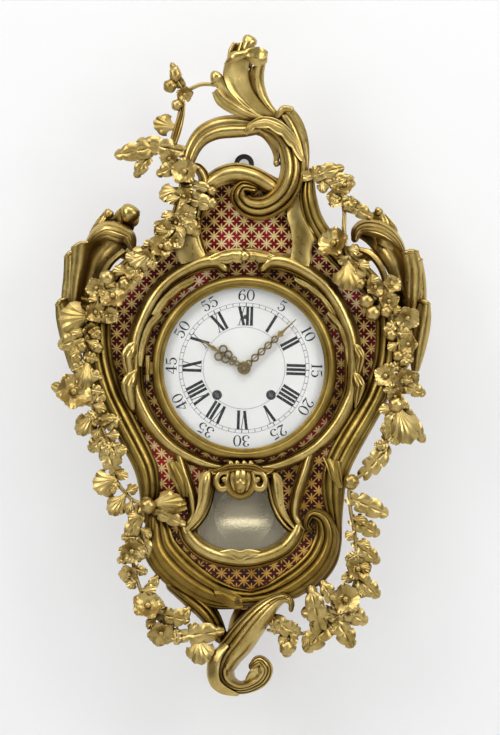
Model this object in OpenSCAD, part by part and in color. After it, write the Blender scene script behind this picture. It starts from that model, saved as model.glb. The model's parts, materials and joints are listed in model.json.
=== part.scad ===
// Cartel clock: a rococo gilt bronze wall clock with two spring trains.
// Modelled lying on its back: x is right, y is up the wall, z is out of the wall.
// The last step stands it up, so that the finished clock faces -Y with the wall at y = 0.
// The origin is the centre of the hanging eye, at the wall.

/* [Case] */
// Depth from the wall to the front of the panel, mm
case_depth = 81; // [80:0.5:92]
// Thickness of the oak backboard, mm
backboard_t = 12; // [9:0.5:12.5]
// Thickness of the carcass wall, mm
wall_t = 8; // [5:0.5:11]
// Thickness of the inlaid front panel, mm
panel_t = 6; // [4:0.5:7]
// Radius of the service opening in the back, mm
service_r = 62; // [50:1:70]
// Radius of the bore in the hanging eye, mm
eye_bore_r = 5; // [3:0.25:6]
// Width of metal round the eye bore, mm
eye_rim = 5; // [3:0.25:7]
// Thickness of the hanging eye, mm
eye_t = 5; // [3:0.25:8]

/* [Dial and bezel] */
// Drop from the hanging eye to the dial centre, mm
dial_drop = 207; // [203:0.5:211]
// Radius of the dial, mm
dial_r = 82; // [81:0.25:83]
// Thickness of the dial, mm
dial_t = 2; // [1.2:0.1:2.4]
// Sight radius inside the bezel lip, mm
sight_r = 80.5; // [76:0.25:81.5]
// Outer radius of the bezel, mm
bezel_r = 93; // [91:0.25:95]
// Height of the bezel bead, mm
bezel_h = 14.7; // [12:0.1:17]
// Rise of the convex glass, mm
glass_rise = 10; // [7:0.5:14]
// Thickness of the glass, mm
glass_t = 1.8; // [1.2:0.1:2.4]
// Radius of a winding hole in the dial, mm
winding_hole_r = 5; // [3.6:0.1:6]
// Radius of the hinge pin, mm
hinge_pin_r = 1.1; // [0.8:0.05:1.3]
// Length of the bezel's hinge knuckle, mm
knuckle_len = 12; // [8:0.5:20]
// Length of the hour hand, mm
hour_hand_len = 56; // [44:0.5:60]
// Length of the minute hand, mm
minute_hand_len = 70; // [60:0.5:76]

/* [Movement] */
// Half the width of a movement plate, mm
plate_half = 56; // [55:0.5:60]
// Thickness of a movement plate, mm
plate_t = 2.5; // [1.8:0.1:3]
// Space between the movement plates, mm
plate_gap = 37; // [36.5:0.1:38]
// Radius of a pillar, mm
pillar_r = 3.5; // [2.5:0.1:4.2]
// Distance of a winding arbor from the dial centre, sideways and down, mm
winding_at = 27; // [26.5:0.1:27.5]
// Radius of a spring barrel, mm
barrel_r = 22; // [20:0.25:22.5]
// Radius of a winding arbor, mm
winding_r = 3; // [2.5:0.1:3.4]
// Side of a winding square, mm
winding_square = 4; // [3:0.1:4.2]
// Radius of a ratchet wheel, mm
ratchet_r = 9; // [7.5:0.1:9.2]
// Radius of a wheel arbor, mm
arbor_r = 0.85; // [0.75:0.01:0.87]
// Radius of a wheel pivot, mm
pivot_r = 0.6; // [0.4:0.02:0.7]
// Thickness of a train wheel, mm
wheel_t = 1.5; // [1:0.1:1.6]
// Radius of the escape wheel, mm
escape_r = 10.5; // [9:0.1:10.8]
// Length of the pendulum from its suspension to the bob, mm
pendulum_len = 196.3; // [185:0.1:205]
// Radius of the pendulum bob, mm
bob_r = 30; // [22:0.5:34]
// Thickness of the pendulum bob, mm
bob_t = 8; // [5:0.25:8.5]
// Radius of the bell, mm
bell_r = 37; // [32:0.5:38]
// Radius of the fly, mm
fly_r = 8; // [6:0.1:8.4]

/* [Clearances] */
// Radial running clearance of a pivot in its bore, mm
run_gap = 0.05; // [0.02:0.01:0.1]
// Radial clearance of a fixed screw or peg in its hole, mm
fit_gap = 0.06; // [0.02:0.01:0.15]
// End shake of an arbor between its plates, mm
end_shake = 0.25; // [0.1:0.05:0.4]
// Clearance under the swinging bezel, mm
bezel_gap = 0.3; // [0.15:0.05:0.6]
// Gap between the glass and its pocket, mm
glass_gap = 0.1; // [0.05:0.05:0.3]
// Gap where a mount is laid on its seat, mm
seat_gap = 0.1; // [0.04:0.02:0.3]

/* [Hidden] */
$fn = 72;

gilt = [0.72, 0.55, 0.24];
brass = [0.78, 0.62, 0.30];
steel = [0.55, 0.56, 0.58];
oak = [0.42, 0.28, 0.16];
red = [0.42, 0.10, 0.07];
enamel = [0.93, 0.92, 0.88];
iron = [0.16, 0.15, 0.14];
clear = [0.75, 0.85, 0.9, 0.35];

// The ornament is set out on a sheet of 1 mm squares: u to the right, v down, the eye at (244, 161).
sheet_u = 244;
sheet_v = 161;

// Levels out of the wall.
front = case_depth;
panel_back = front - panel_t;
dial_back = front + 3;
dial_face = dial_back + dial_t;
plate_front = front - 10;
plate_in = plate_front - plate_t;
back_in = plate_in - plate_gap;
back_out = back_in - plate_t;
bezel_back = front + bezel_gap;
bezel_top = bezel_back + bezel_h;
glass_seat = bezel_top - 4.4;
hinge_z = front + 11;
hinge_x = -(bezel_r + 3.4);
knuckle_r = hinge_pin_r + 1.2;
dial_plate_t = 1.5;

// Train: teeth, modules and centres, measured from the dial centre.
pressure = 30;
great_z = 80;
great_m = 0.62;
great_pinion = 10;
second_z = 72;
second_m = 0.48;
second_pinion = 8;
centre_z = 90;
centre_m = 0.38;
third_pinion = 8;
third_z = 84;
third_m = 0.36;
escape_pinion = 7;
strike_z = 70;
strike_m = 0.46;
pin_pinion = 8;
pin_z = 60;
pin_m = 0.42;
warning_pinion = 7;
warning_z = 50;
warning_m = 0.38;
fly_pinion = 7;
cannon_z = 12;
minute_z = 36;
motion_m = 0.6;
hour_pinion = 10;
hour_z = 40;
motion_d = motion_m * (cannon_z + minute_z) / 2;
hour_m = 2 * motion_d / (hour_pinion + hour_z);

function meet(a, ra, b, rb, side) =
  let (d = norm(b - a), k = (ra * ra - rb * rb + d * d) / (2 * d), e = (b - a) / d)
  a + e * k + side * [-e.y, e.x] * sqrt(ra * ra - k * k);
function way_to(a, b) = atan2(b.y - a.y, b.x - a.x);

O = [0, 0];
going_at = [winding_at, -winding_at];
strike_at = [-winding_at, -winding_at];
great_d = great_m * (great_z + great_pinion) / 2;
second_at = meet(O, second_m * (second_z + second_pinion) / 2, going_at, great_d, 1);
escape_at = [0, 32];
third_at = meet(O, centre_m * (centre_z + third_pinion) / 2, escape_at,
  third_m * (third_z + escape_pinion) / 2, -1);
anchor_at = [0, 46.5];
strike_second_at = strike_at + great_d * [cos(78), sin(78)];
pin_at = strike_second_at + strike_m * (strike_z + pin_pinion) / 2 * [cos(100), sin(100)];
warning_at = pin_at + pin_m * (pin_z + warning_pinion) / 2 * [cos(70), sin(70)];
fly_at = warning_at + warning_m * (warning_z + fly_pinion) / 2 * [cos(50), sin(50)];
minute_at = motion_d * [cos(200), sin(200)];
regulator_at = [1.5, 51];
hammer_at = [-38, 48];
pillars = [[50, 48], [-50, 48], [50, -50], [-50, -50]];
click_arm = 14.4;
going_click_at = going_at + click_arm * [cos(-65), sin(-65)];
strike_click_at = strike_at + click_arm * [cos(-115), sin(-115)];

// Turn of a driven gear so that its space meets the driver's tooth.
function phase(a, b, turn_a, za, zb) =
  let (w = way_to(a, b)) w + 180 - (turn_a - w) * za / zb - 180 / zb;

great_turn = 0;
second_pinion_turn = phase(going_at, second_at, great_turn, great_z, great_pinion);
centre_pinion_turn = phase(second_at, O, second_pinion_turn, second_z, second_pinion);
third_pinion_turn = phase(O, third_at, centre_pinion_turn, centre_z, third_pinion);
escape_pinion_turn = phase(third_at, escape_at, third_pinion_turn, third_z, escape_pinion);
strike_pinion_turn = phase(strike_at, strike_second_at, 0, great_z, great_pinion);
pin_pinion_turn = phase(strike_second_at, pin_at, strike_pinion_turn, strike_z, pin_pinion);
warning_turn = phase(pin_at, warning_at, pin_pinion_turn, pin_z, warning_pinion);
fly_turn = phase(warning_at, fly_at, warning_turn, warning_z, fly_pinion);
minute_turn = phase(O, minute_at, centre_pinion_turn, cannon_z, minute_z);
hour_turn = phase(minute_at, O, minute_turn, hour_pinion, hour_z);

function inv(a) = tan(a) * 180 / PI - a;
function flank(z, m, r) =
  let (rb = z * m / 2 * cos(pressure), a = r > rb ? acos(rb / r) : 0)
  0.42 * 180 / z + inv(pressure) - inv(a);
function tooth(z, m) =
  let (p = z * m / 2, root = p - 1.05 * m, base = p * cos(pressure), tip = p + 0.8 * m)
  root > base ? [[root, flank(z, m, root)], [tip, flank(z, m, tip)]]
  : [[root, flank(z, m, base)], [base, flank(z, m, base)], [p, flank(z, m, p)], [tip, flank(z, m, tip)]];
function polar(r, a) = [r * cos(a), r * sin(a)];

module gear(z, m, turn) {
  t = tooth(z, m);
  e = len(t) - 1;
  polygon([for (i = [0:z - 1]) each concat(
    [for (k = [0:e]) polar(t[k][0], turn + i * 360 / z - t[k][1])],
    [for (k = [e:-1:0]) polar(t[k][0], turn + i * 360 / z + t[k][1])])]);
}

module crossings(r1, r2, n, gap) {
  for (i = [0:n - 1])
    rotate(i * 360 / n + gap / 2) rotate_extrude(angle = 360 / n - gap)
      translate([r1, -1]) square([r2 - r1, 9]);
}

module wheel(z, m, turn, t, n = 4) {
  difference() {
    linear_extrude(t) gear(z, m, turn);
    crossings(3.4, z * m / 2 - 2.6, n, 22);
  }
}

module spindle(c, from, to, pin_to) {
  on_dial(c, from) cylinder(r = arbor_r, h = to - from);
  on_dial(c, from - pin_to) cylinder(r = pivot_r, h = to - from + 2 * pin_to);
}

module on_dial(c, z) translate([c.x, c.y - dial_drop, z]) children();
module stood() rotate([90, 0, 0]) children();

// Smooth curves through a few set points; each point carries place, width and height.
function mix(a, b, c, d, t) =
  0.5 * (2 * b + (c - a) * t + (2 * a - 5 * b + 4 * c - d) * t * t
    + (3 * b - a - 3 * c + d) * t * t * t);
function smooth(p, n) = let (e = len(p) - 1) concat(
  [for (i = [0:e - 1]) for (k = [0:n - 1])
    mix(p[max(i - 1, 0)], p[i], p[i + 1], p[min(i + 2, e)], k / n)], [p[e]]);
function smooth_loop(p, n) = let (e = len(p)) [for (i = [0:e - 1]) for (k = [0:n - 1])
  mix(p[(i + e - 1) % e], p[i], p[(i + 1) % e], p[(i + 2) % e], k / n)];
function sheet(p) = [for (q = p) [q[0] - sheet_u, sheet_v - q[1], q[2], q[3], q[4]]];
function flat(p) = [for (q = p) [q[0] - sheet_u, sheet_v - q[1]]];
function place(p) = [p[0], p[1], p[2]];
function course(p, i) = let (e = len(p) - 1, d = place(p[min(i + 1, e)]) - place(p[max(i - 1, 0)]))
  d / norm(d);
function slab(p, i, sec) =
  let (t = course(p, i), c = cross(t, [0, 0, 1]), s = c / norm(c), n = cross(s, t))
  [for (q = sec) place(p[i]) + s * q[0] * p[i][3] + n * q[1] * p[i][4]];

// Sections: half round on a flat back, leaf blade, round rod.
domed = [[-0.5, 0], [-0.46, 0.55], [-0.22, 1], [0.22, 1], [0.46, 0.55], [0.5, 0]];
blade = [[-0.5, 0.3], [0, 1], [0.5, 0.3], [0, 0]];
rod = [[-0.5, 0.5], [-0.25, 0.95], [0.25, 0.95], [0.5, 0.5], [0.25, 0.05], [-0.25, 0.05]];

module block(points) hull() polyhedron(points, [[for (k = [0:len(points) - 1]) k]]);

// One closed skin along the way, with a rounded cap on each end.
module sweep(p, sec, caps = true) {
  m = len(sec);
  e = len(p) - 1;
  polyhedron([for (i = [0:e]) each slab(p, i, sec)], concat(
    [[for (j = [0:m - 1]) j], [for (j = [m - 1:-1:0]) e * m + j]],
    [for (i = [0:e - 1]) for (j = [0:m - 1]) let (k = (j + 1) % m)
      each [[i * m + j, i * m + m + j, i * m + m + k], [i * m + j, i * m + m + k, i * m + k]]]));
  if (caps) {
    cap(p, 0, -1, sec);
    cap(p, e, 1, sec);
  }
}
module cap(p, i, way, sec) {
  q = p[i];
  reach = course(p, i) * way * min(q[3], q[4]);
  low = [[q[0], q[1], q[2] + q[4] * 0.05] - reach * 0.4, [q[0], q[1], q[2] + q[4] * 0.2] + reach * 0.5];
  ends = [[each low[0], q[3] * 0.9, q[4] * 0.86], [each low[1], q[3] * 0.5, q[4] * 0.5]];
  block(concat(slab(ends, 0, sec), slab(ends, 1, sec)));
}

module run(p, sec, n = 2, caps = true) sweep(smooth(sheet(p), n), sec, caps);

// A bloom: a cup with petals round a raised heart. A leaf: a bent blade from root to tip.
module bloom(u, v, z, r, n = 5, turn = 0) translate([u - sheet_u, sheet_v - v, z]) {
  e = 2 * n;
  rim = [for (k = [0:e - 1]) let (c = polar(r * (k % 2 == 0 ? 1 : 0.66), turn + k * 180 / n))
    [c.x, c.y, r * (k % 2 == 0 ? 0.36 : 0.22)]];
  cup = [for (k = [0:e - 1]) let (c = polar(r * 0.34, turn + k * 180 / n)) [c.x, c.y, r * 0.3]];
  polyhedron(concat([[0, 0, 0]], rim, cup, [[0, 0, r * 0.64]]), [for (k = [0:e - 1]) let (j = (k + 1) % e)
    each [[0, 1 + k, 1 + j], [1 + k, 1 + e + k, 1 + e + j], [1 + k, 1 + e + j, 1 + j],
      [1 + 2 * e, 1 + e + j, 1 + e + k]]]);
}
module bud(u, v, z, r) translate([u - sheet_u, sheet_v - v, z]) hull() {
  cylinder(r = r * 0.6, h = r * 1.3, $fn = 6);
  translate([0, 0, r * 0.45]) cylinder(r = r, h = r * 0.4, $fn = 6);
}
module leaf(u, v, u2, v2, z, w, lift = 3, t = 3.5) {
  p = [[u, v, z, w * 0.3, t], [u * 0.62 + u2 * 0.38, v * 0.62 + v2 * 0.38, z + lift, w, t],
    [u * 0.3 + u2 * 0.7, v * 0.3 + v2 * 0.7, z + lift, w * 0.8, t],
    [u2, v2, z + lift * 0.3, w * 0.15, t * 0.6]];
  run(p, blade, 1, false);
}

// Outline of the case.
outline_set = [[243, 165], [278, 178], [300, 205], [325, 245], [365, 275], [385, 300], [391, 340],
  [386, 375], [371, 410], [350, 445], [336, 475], [333, 500], [337, 530], [337, 553], [325, 578],
  [300, 597], [268, 607], [243, 610], [216, 607], [185, 595], [160, 576], [149, 550], [152, 522],
  [157, 500], [154, 475], [139, 443], [118, 410], [104, 375], [98, 340], [99, 310], [110, 288],
  [135, 262], [160, 242], [180, 215], [196, 190], [210, 174], [225, 166]];
outline = smooth_loop(flat(outline_set), 3);
function grow(p, d) = let (e = len(p)) [for (i = [0:e - 1])
  let (t = p[(i + 1) % e] - p[(i + e - 1) % e]) p[i] + d * [-t.y, t.x] / norm(t)];
window_set = [[243, 478], [268, 479], [273, 500], [281, 518], [284, 531], [278, 545], [262, 551],
  [243, 551], [222, 551], [206, 546], [200, 531], [206, 516], [212, 500], [216, 479]];
window = smooth_loop(flat(window_set), 3);
cover_holes = [for (a = [45:90:315]) polar(service_r + 3, a)];
eye_holes = [[-9, -14], [9, -14]];
plate_holes = [for (a = [30:60:330]) polar(dial_r + 5, a)];
dial_feet = [[60, 30], [-60, 30], [0, -68]];

module case_block(from, to, d = 0)
  translate([0, 0, from]) linear_extrude(to - from) polygon(grow(outline, d));

module backboard() color(oak) difference() {
  case_block(0, backboard_t);
  on_dial(O, -1) cylinder(r = service_r, h = backboard_t + 2);
  on_dial(O, -1) cylinder(r = service_r + 6 + fit_gap, h = 2.6);
  for (p = cover_holes) on_dial(p, -1) cylinder(r = 1.3 + fit_gap, h = 9);
  translate([-14 - seat_gap, -21 - seat_gap, -1]) cube([28 + 2 * seat_gap, 40, eye_t + 1 + seat_gap]);
  translate([0, 0, -1]) cylinder(r = eye_bore_r + 1, h = backboard_t + 2);
  for (p = eye_holes) translate([p.x, p.y, 0]) cylinder(r = 1.5 + fit_gap, h = backboard_t - 1);
}

module carcass() color(oak) difference() {
  case_block(backboard_t, panel_back);
  translate([0, 0, backboard_t - 1]) linear_extrude(panel_back) polygon(grow(outline, -wall_t));
  translate([0, 0, backboard_t - 1]) cylinder(r = eye_bore_r + 1, h = 18);
}

module front_panel() color(red) difference() {
  case_block(panel_back, front);
  on_dial(O, panel_back - 1) cylinder(r = dial_r + 2, h = panel_t + 2);
  translate([0, 0, panel_back - 1]) linear_extrude(panel_t + 2) polygon(window);
  translate([0, 0, panel_back + 1.5]) linear_extrude(panel_t) polygon(grow(window, 3));
  for (p = plate_holes) on_dial(p, panel_back - 1) cylinder(r = 1.2 + fit_gap, h = 4.4);
}

module rear_cover() color(brass) difference() {
  on_dial(O, 0.3) cylinder(r = service_r + 6, h = 1.2);
  for (p = cover_holes) on_dial(p, 0) cylinder(r = 1.3 + fit_gap, h = 3);
  for (p = cover_holes) on_dial(p, -1) cylinder(r = 2.6, h = 1.7);
}

module case_screws() color(steel) {
  for (p = cover_holes) {
    on_dial(p, 0.2) cylinder(r = 2.4, h = 0.5);
    on_dial(p, 0.2) cylinder(r = 1.3, h = 7);
  }
  for (p = eye_holes) {
    translate([p.x, p.y, 0.2]) cylinder(r = 1.5, h = backboard_t - 1.6);
    translate([p.x, p.y, 0.2]) cylinder(r = 3, h = 1.4);
  }
}

module hanging_eye() color(iron) difference() {
  union() {
    cylinder(r = eye_bore_r + eye_rim, h = eye_t);
    translate([-14, -21, 0]) cube([28, 14, eye_t]);
    translate([-eye_bore_r - eye_rim, -8, 0]) cube([2 * (eye_bore_r + eye_rim), 8, eye_t]);
  }
  translate([0, 0, -1]) cylinder(r = eye_bore_r, h = eye_t + 2);
  for (p = eye_holes) translate([p.x, p.y, -1]) cylinder(r = 1.5 + fit_gap, h = eye_t + 2);
  for (p = eye_holes) translate([p.x, p.y, -1]) cylinder(r = 3 + fit_gap, h = 2.6 + fit_gap);
}

// Mouldings on the panel: back flat on the panel face.
seat = front + seat_gap;
module left_frame() color(gilt) difference() {
  run([[181, 200, seat, 14, 9], [177, 220, seat, 16, 11],
  [168, 237, seat, 17, 12], [150, 250, seat, 17, 12], [130, 266, seat, 18, 13],
  [112, 284, seat, 18, 13], [101, 308, seat, 19, 14], [98, 335, seat, 20, 14],
  [101, 365, seat, 20, 14], [110, 392, seat, 20, 14], [123, 418, seat, 19, 14],
  [137, 443, seat, 18, 13], [148, 466, seat, 17, 12], [153, 485, seat, 16, 11],
  [154, 502, seat, 14, 9]], domed, 2, false);
  dial_surround();
}

module right_frame() color(gilt) difference() {
  run([[309, 184, seat, 14, 9], [309, 198, seat, 16, 11],
  [314, 217, seat, 17, 12], [324, 236, seat, 17, 12], [340, 255, seat, 18, 13],
  [360, 272, seat, 18, 13], [377, 292, seat, 19, 14], [386, 318, seat, 20, 14],
  [387, 345, seat, 20, 14], [383, 372, seat, 20, 14], [373, 396, seat, 19, 14],
  [360, 418, seat, 18, 13], [348, 440, seat, 17, 12], [339, 462, seat, 16, 11],
  [335, 482, seat, 15, 10], [335, 503, seat, 13, 9]], domed, 2, false);
  dial_surround();
}

// The surround follows the bezel: angle from twelve o'clock, distance beyond the bezel.
surround_set = [[13.8, 9, 6, 6], [15.4, 16, 9, 9], [20.2, 20, 11, 11], [28.4, 21, 13, 12],
  [40, 22, 14, 13], [51.4, 21, 15, 14], [64.6, 19, 15, 14], [78, 17.5, 15, 14], [98.9, 16.5, 15, 14],
  [110, 15.5, 14, 13], [122.7, 14, 13, 12], [137, 12.6, 12, 12], [151.4, 10, 11, 11],
  [166, 8.5, 10, 10], [183, 8, 10, 10]];
function beyond(a, d, side = 1) = [side * (bezel_r + d) * sin(a), (bezel_r + d) * cos(a) - dial_drop];
function ring_way(set, side) = smooth([for (q = set)
  [each beyond(q[0], q[1], side), seat, q[2], q[3]]], 2);
// Bands that run down from the surround, and the cartouche over it.
band_set = [[140.5, 13, 9, 9], [149, 26, 10, 11], [156, 41, 10, 11], [159.6, 53.5, 8, 9], [160, 62, 5, 6]];
cartouche_set = [[-20.1, 17.7, 8, 9], [-10.1, 20.8, 10, 8], [0.5, 22, 11, 9], [11.1, 21.1, 10, 8],
  [20.9, 19.4, 8, 9]];

module dial_surround() color(gilt) {
  for (side = [-1, 1]) {
    sweep(ring_way(surround_set, side), domed);
    sweep(ring_way(band_set, side), domed);
  }
  sweep(ring_way(cartouche_set, 1), domed);
  translate([each beyond(0.5, 19), 0]) bloom(sheet_u, sheet_v, seat + 4, 9, 6);
}

module window_frame() color(gilt) difference() {
  union() {
  run([[217, 481, seat, 8, 8], [209, 492, seat, 9, 10], [205, 508, seat, 10, 11],
    [196, 524, seat, 10, 11], [192, 532, seat, 9, 11], [199, 547, seat, 11, 12],
    [218, 557, seat, 12, 12], [243, 560, seat, 13, 13], [266, 557, seat, 12, 12],
    [285, 546, seat, 11, 12], [293, 531, seat, 9, 11], [288, 522, seat, 10, 11],
    [281, 508, seat, 10, 11], [277, 492, seat, 9, 10], [269, 481, seat, 8, 8]], domed);
  run([[217, 483, seat, 12, 9], [230, 486, seat, 18, 12], [243, 487, seat, 22, 14],
    [256, 486, seat, 18, 12], [269, 483, seat, 12, 9]], domed);
  bud(243, 483, seat + 8, 7);
  }
  dial_surround();
}

module window_glass() color(clear) translate([0, 0, panel_back + 1.5 + seat_gap])
  linear_extrude(panel_t - 1.5 - 2 * seat_gap) polygon(grow(window, 2.7));

lower_h = 13;
module lower_frame() color(gilt) difference() {
  union() {
  run([[158, 530, seat, 20, 10], [161, 548, seat, 25, 12], [173, 565, seat, 27, lower_h],
    [191, 580, seat, 27, lower_h], [211, 590, seat, 25, lower_h], [232, 595, seat, 21, 12],
    [248, 595, seat, 17, 11]], domed);
  run([[313, 530, seat, 6, 8], [316, 520, seat, 9, 10], [325, 523, seat, 13, 11],
    [330, 538, seat, 18, 12], [327, 555, seat, 24, 12], [315, 572, seat, 26, lower_h],
    [297, 584, seat, 26, lower_h], [276, 592, seat, 23, lower_h], [252, 595, seat, 18, 11]], domed);
  run([[177, 590, seat - 16, 10, 14], [195, 602, seat - 16, 12, 14], [210, 614, seat - 16, 11, 13]], domed);
  run([[168, 500, seat, 7, 6], [176, 505, seat, 11, 8], [170, 518, seat, 9, 8],
    [160, 534, seat, 8, 8]], domed);
  }
  case_block(0, front + seat_gap, seat_gap);
}

module bottom_raw() {
  run([[293, 609, seat + 14, 6, 8], [290, 600, seat + 14, 8, 9], [278, 601, seat + 13.5, 11, 11],
    [262, 611, seat + 8, 17, 14], [246, 626, seat, 22, 18], [234, 643, seat - 8, 26, 22],
    [227, 660, seat - 13, 29, 26], [228, 676, seat - 13, 25, 24], [236, 686, seat - 10, 18, 20],
    [248, 688, seat - 6, 14, 18], [259, 681, seat - 3, 12, 15], [264, 671, seat, 10, 12],
    [260, 664, seat + 2, 8, 10]], domed);
  run([[250, 604, seat - 20, 20, 14], [241, 622, seat - 20, 22, 16], [234, 645, seat - 16, 18, 14]], domed);
}
module bottom_scroll() color(gilt) difference() {
  bottom_raw();
  lower_frame();
  case_block(0, front + seat_gap, seat_gap);
}

module crest() color(gilt) difference() {
  union() {
    run([[208, 184, seat, 12, 7], [221, 175, seat, 14, 9], [235, 171, seat, 15, 10],
      [249, 173, seat, 15, 10], [264, 180, seat, 14, 9], [276, 187, seat, 12, 8]], domed);
    run([[252, 125, seat - 6, 18, 12], [243, 127, seat - 6, 21, 13], [230, 127, seat - 6, 23, 13],
      [217, 129, seat - 6, 21, 13], [205, 135, seat - 5, 18, 12], [195, 145, seat - 3, 15, 11],
      [189, 158, seat - 1, 12, 10], [187, 172, seat, 9, 8]], domed);
    run([[258, 124, seat - 6, 16, 13], [276, 131, seat - 5, 18, 14], [287, 145, seat - 4, 20, 14],
      [292, 160, seat - 2, 20, 14], [292, 175, seat, 20, 14], [287, 190, seat, 20, 15],
      [275, 202, seat, 21, 16], [261, 208, seat, 19, 16], [249, 206, seat, 14, 15],
      [242, 200, seat + 2, 9, 13], [243, 193, seat + 3, 7, 11]], domed);
    run([[285, 110, seat - 10, 14, 9], [295, 124, seat - 8, 13, 9], [302, 142, seat - 6, 11, 9],
      [305, 160, seat - 3, 8, 8], [305, 175, seat, 5, 6]], domed);
    run([[262, 116, seat - 8, 14, 10], [274, 113, seat - 9, 14, 9], [288, 114, seat - 9, 10, 8]], domed);
  }
  case_block(0, front + seat_gap, seat_gap);
  left_frame();
  right_frame();
}

module plume() color(gilt) difference() {
  union() {
    run([[262, 121, seat, 12, 8], [252, 106, seat + 2, 20, 9], [242, 92, seat + 3, 24, 9],
      [237, 78, seat + 6, 25, 9], [237, 66, seat + 11, 24, 8], [240, 59, seat + 16, 18, 7]], domed);
    run([[268, 116, seat - 3, 12, 8], [261, 98, seat, 17, 8], [257, 82, seat + 2, 15, 8],
      [257, 68, seat + 5, 14, 8], [262, 56, seat + 10, 10, 7], [268, 49, seat + 14, 6, 5]], domed);
    run([[257, 114, seat, 10, 7], [242, 105, seat + 3, 15, 7], [228, 99, seat + 5, 13, 7],
      [213, 94, seat + 8, 6, 5]], domed);
    run([[241, 96, seat, 9, 6], [228, 86, seat + 1, 9, 6], [218, 79, seat + 4, 9, 8],
      [210, 76, seat + 6, 6, 6]], domed);
    run([[246, 72, seat - 2, 12, 8], [244, 54, seat + 2, 12, 8], [248, 41, seat + 6, 14, 9],
      [249, 35, seat + 8, 8, 6]], domed);
    run([[232, 88, seat, 5, 5], [210, 84, seat + 2, 4, 4], [192, 88, seat + 2, 4, 4]], rod);
  }
  crest();
}

module left_wing() color(gilt) difference() {
  union() {
    run([[72, 368, seat - 26, 7, 6], [67, 345, seat - 30, 15, 9], [66, 320, seat - 34, 21, 12],
      [69, 295, seat - 36, 25, 14], [74, 272, seat - 36, 27, 15], [83, 252, seat - 34, 27, 16],
      [95, 237, seat - 30, 25, 16], [110, 229, seat - 24, 22, 15], [122, 231, seat - 18, 17, 12],
      [130, 241, seat - 14, 10, 9]], domed);
    run([[78, 318, seat - 34, 14, 8], [64, 306, seat - 30, 13, 8], [59, 297, seat - 28, 6, 5]], domed);
    run([[82, 270, seat - 34, 16, 9], [70, 254, seat - 28, 13, 9], [66, 247, seat - 26, 6, 5]], domed);
    run([[92, 250, seat - 32, 15, 9], [80, 240, seat - 26, 9, 7], [76, 236, seat - 24, 5, 5]], domed);
    run([[104, 240, seat - 28, 16, 10], [108, 220, seat - 20, 15, 10], [107, 208, seat - 16, 7, 6]], domed);
    run([[112, 236, seat - 28, 16, 10], [124, 220, seat - 20, 15, 10], [133, 209, seat - 16, 12, 9]], domed);
    run([[74, 300, seat - 40, 14, 10], [90, 303, seat - 42, 12, 10], [108, 306, seat - 42, 12, 10]], rod, 1);
    run([[102, 240, seat - 35, 14, 10], [122, 250, seat - 42, 12, 10],
      [148, 262, seat - 42, 12, 10]], rod, 1);
  }
  case_block(0, front + seat_gap, seat_gap);
}

module right_wing() color(gilt) difference() {
  union() {
    run([[414, 370, seat - 26, 7, 6], [419, 345, seat - 30, 14, 9], [420, 320, seat - 34, 19, 12],
      [417, 298, seat - 36, 23, 14], [412, 275, seat - 36, 25, 15], [404, 257, seat - 34, 25, 16],
      [392, 242, seat - 30, 23, 16], [378, 232, seat - 24, 20, 15], [364, 229, seat - 18, 15, 12],
      [355, 234, seat - 14, 9, 9]], domed);
    run([[408, 318, seat - 34, 13, 8], [422, 308, seat - 30, 12, 8], [429, 298, seat - 28, 6, 5]], domed);
    run([[404, 274, seat - 34, 15, 9], [414, 262, seat - 28, 12, 9], [419, 254, seat - 26, 6, 5]], domed);
    run([[394, 254, seat - 32, 14, 9], [404, 248, seat - 26, 9, 7], [410, 246, seat - 24, 5, 5]], domed);
    run([[384, 244, seat - 28, 15, 10], [385, 222, seat - 20, 14, 10], [382, 208, seat - 16, 7, 6]], domed);
    run([[374, 240, seat - 28, 15, 10], [368, 220, seat - 20, 13, 10], [364, 203, seat - 16, 9, 8]], domed);
    run([[396, 284, seat - 34, 12, 8], [385, 268, seat - 26, 12, 8], [358, 247, seat - 18, 6, 5]], domed);
    run([[412, 300, seat - 40, 14, 10], [396, 303, seat - 42, 12, 10],
      [378, 306, seat - 42, 12, 10]], rod, 1);
    run([[384, 244, seat - 33, 14, 10], [366, 254, seat - 42, 12, 10],
      [340, 264, seat - 42, 12, 10]], rod, 1);
  }
  case_block(0, front + seat_gap, seat_gap);
}

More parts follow.
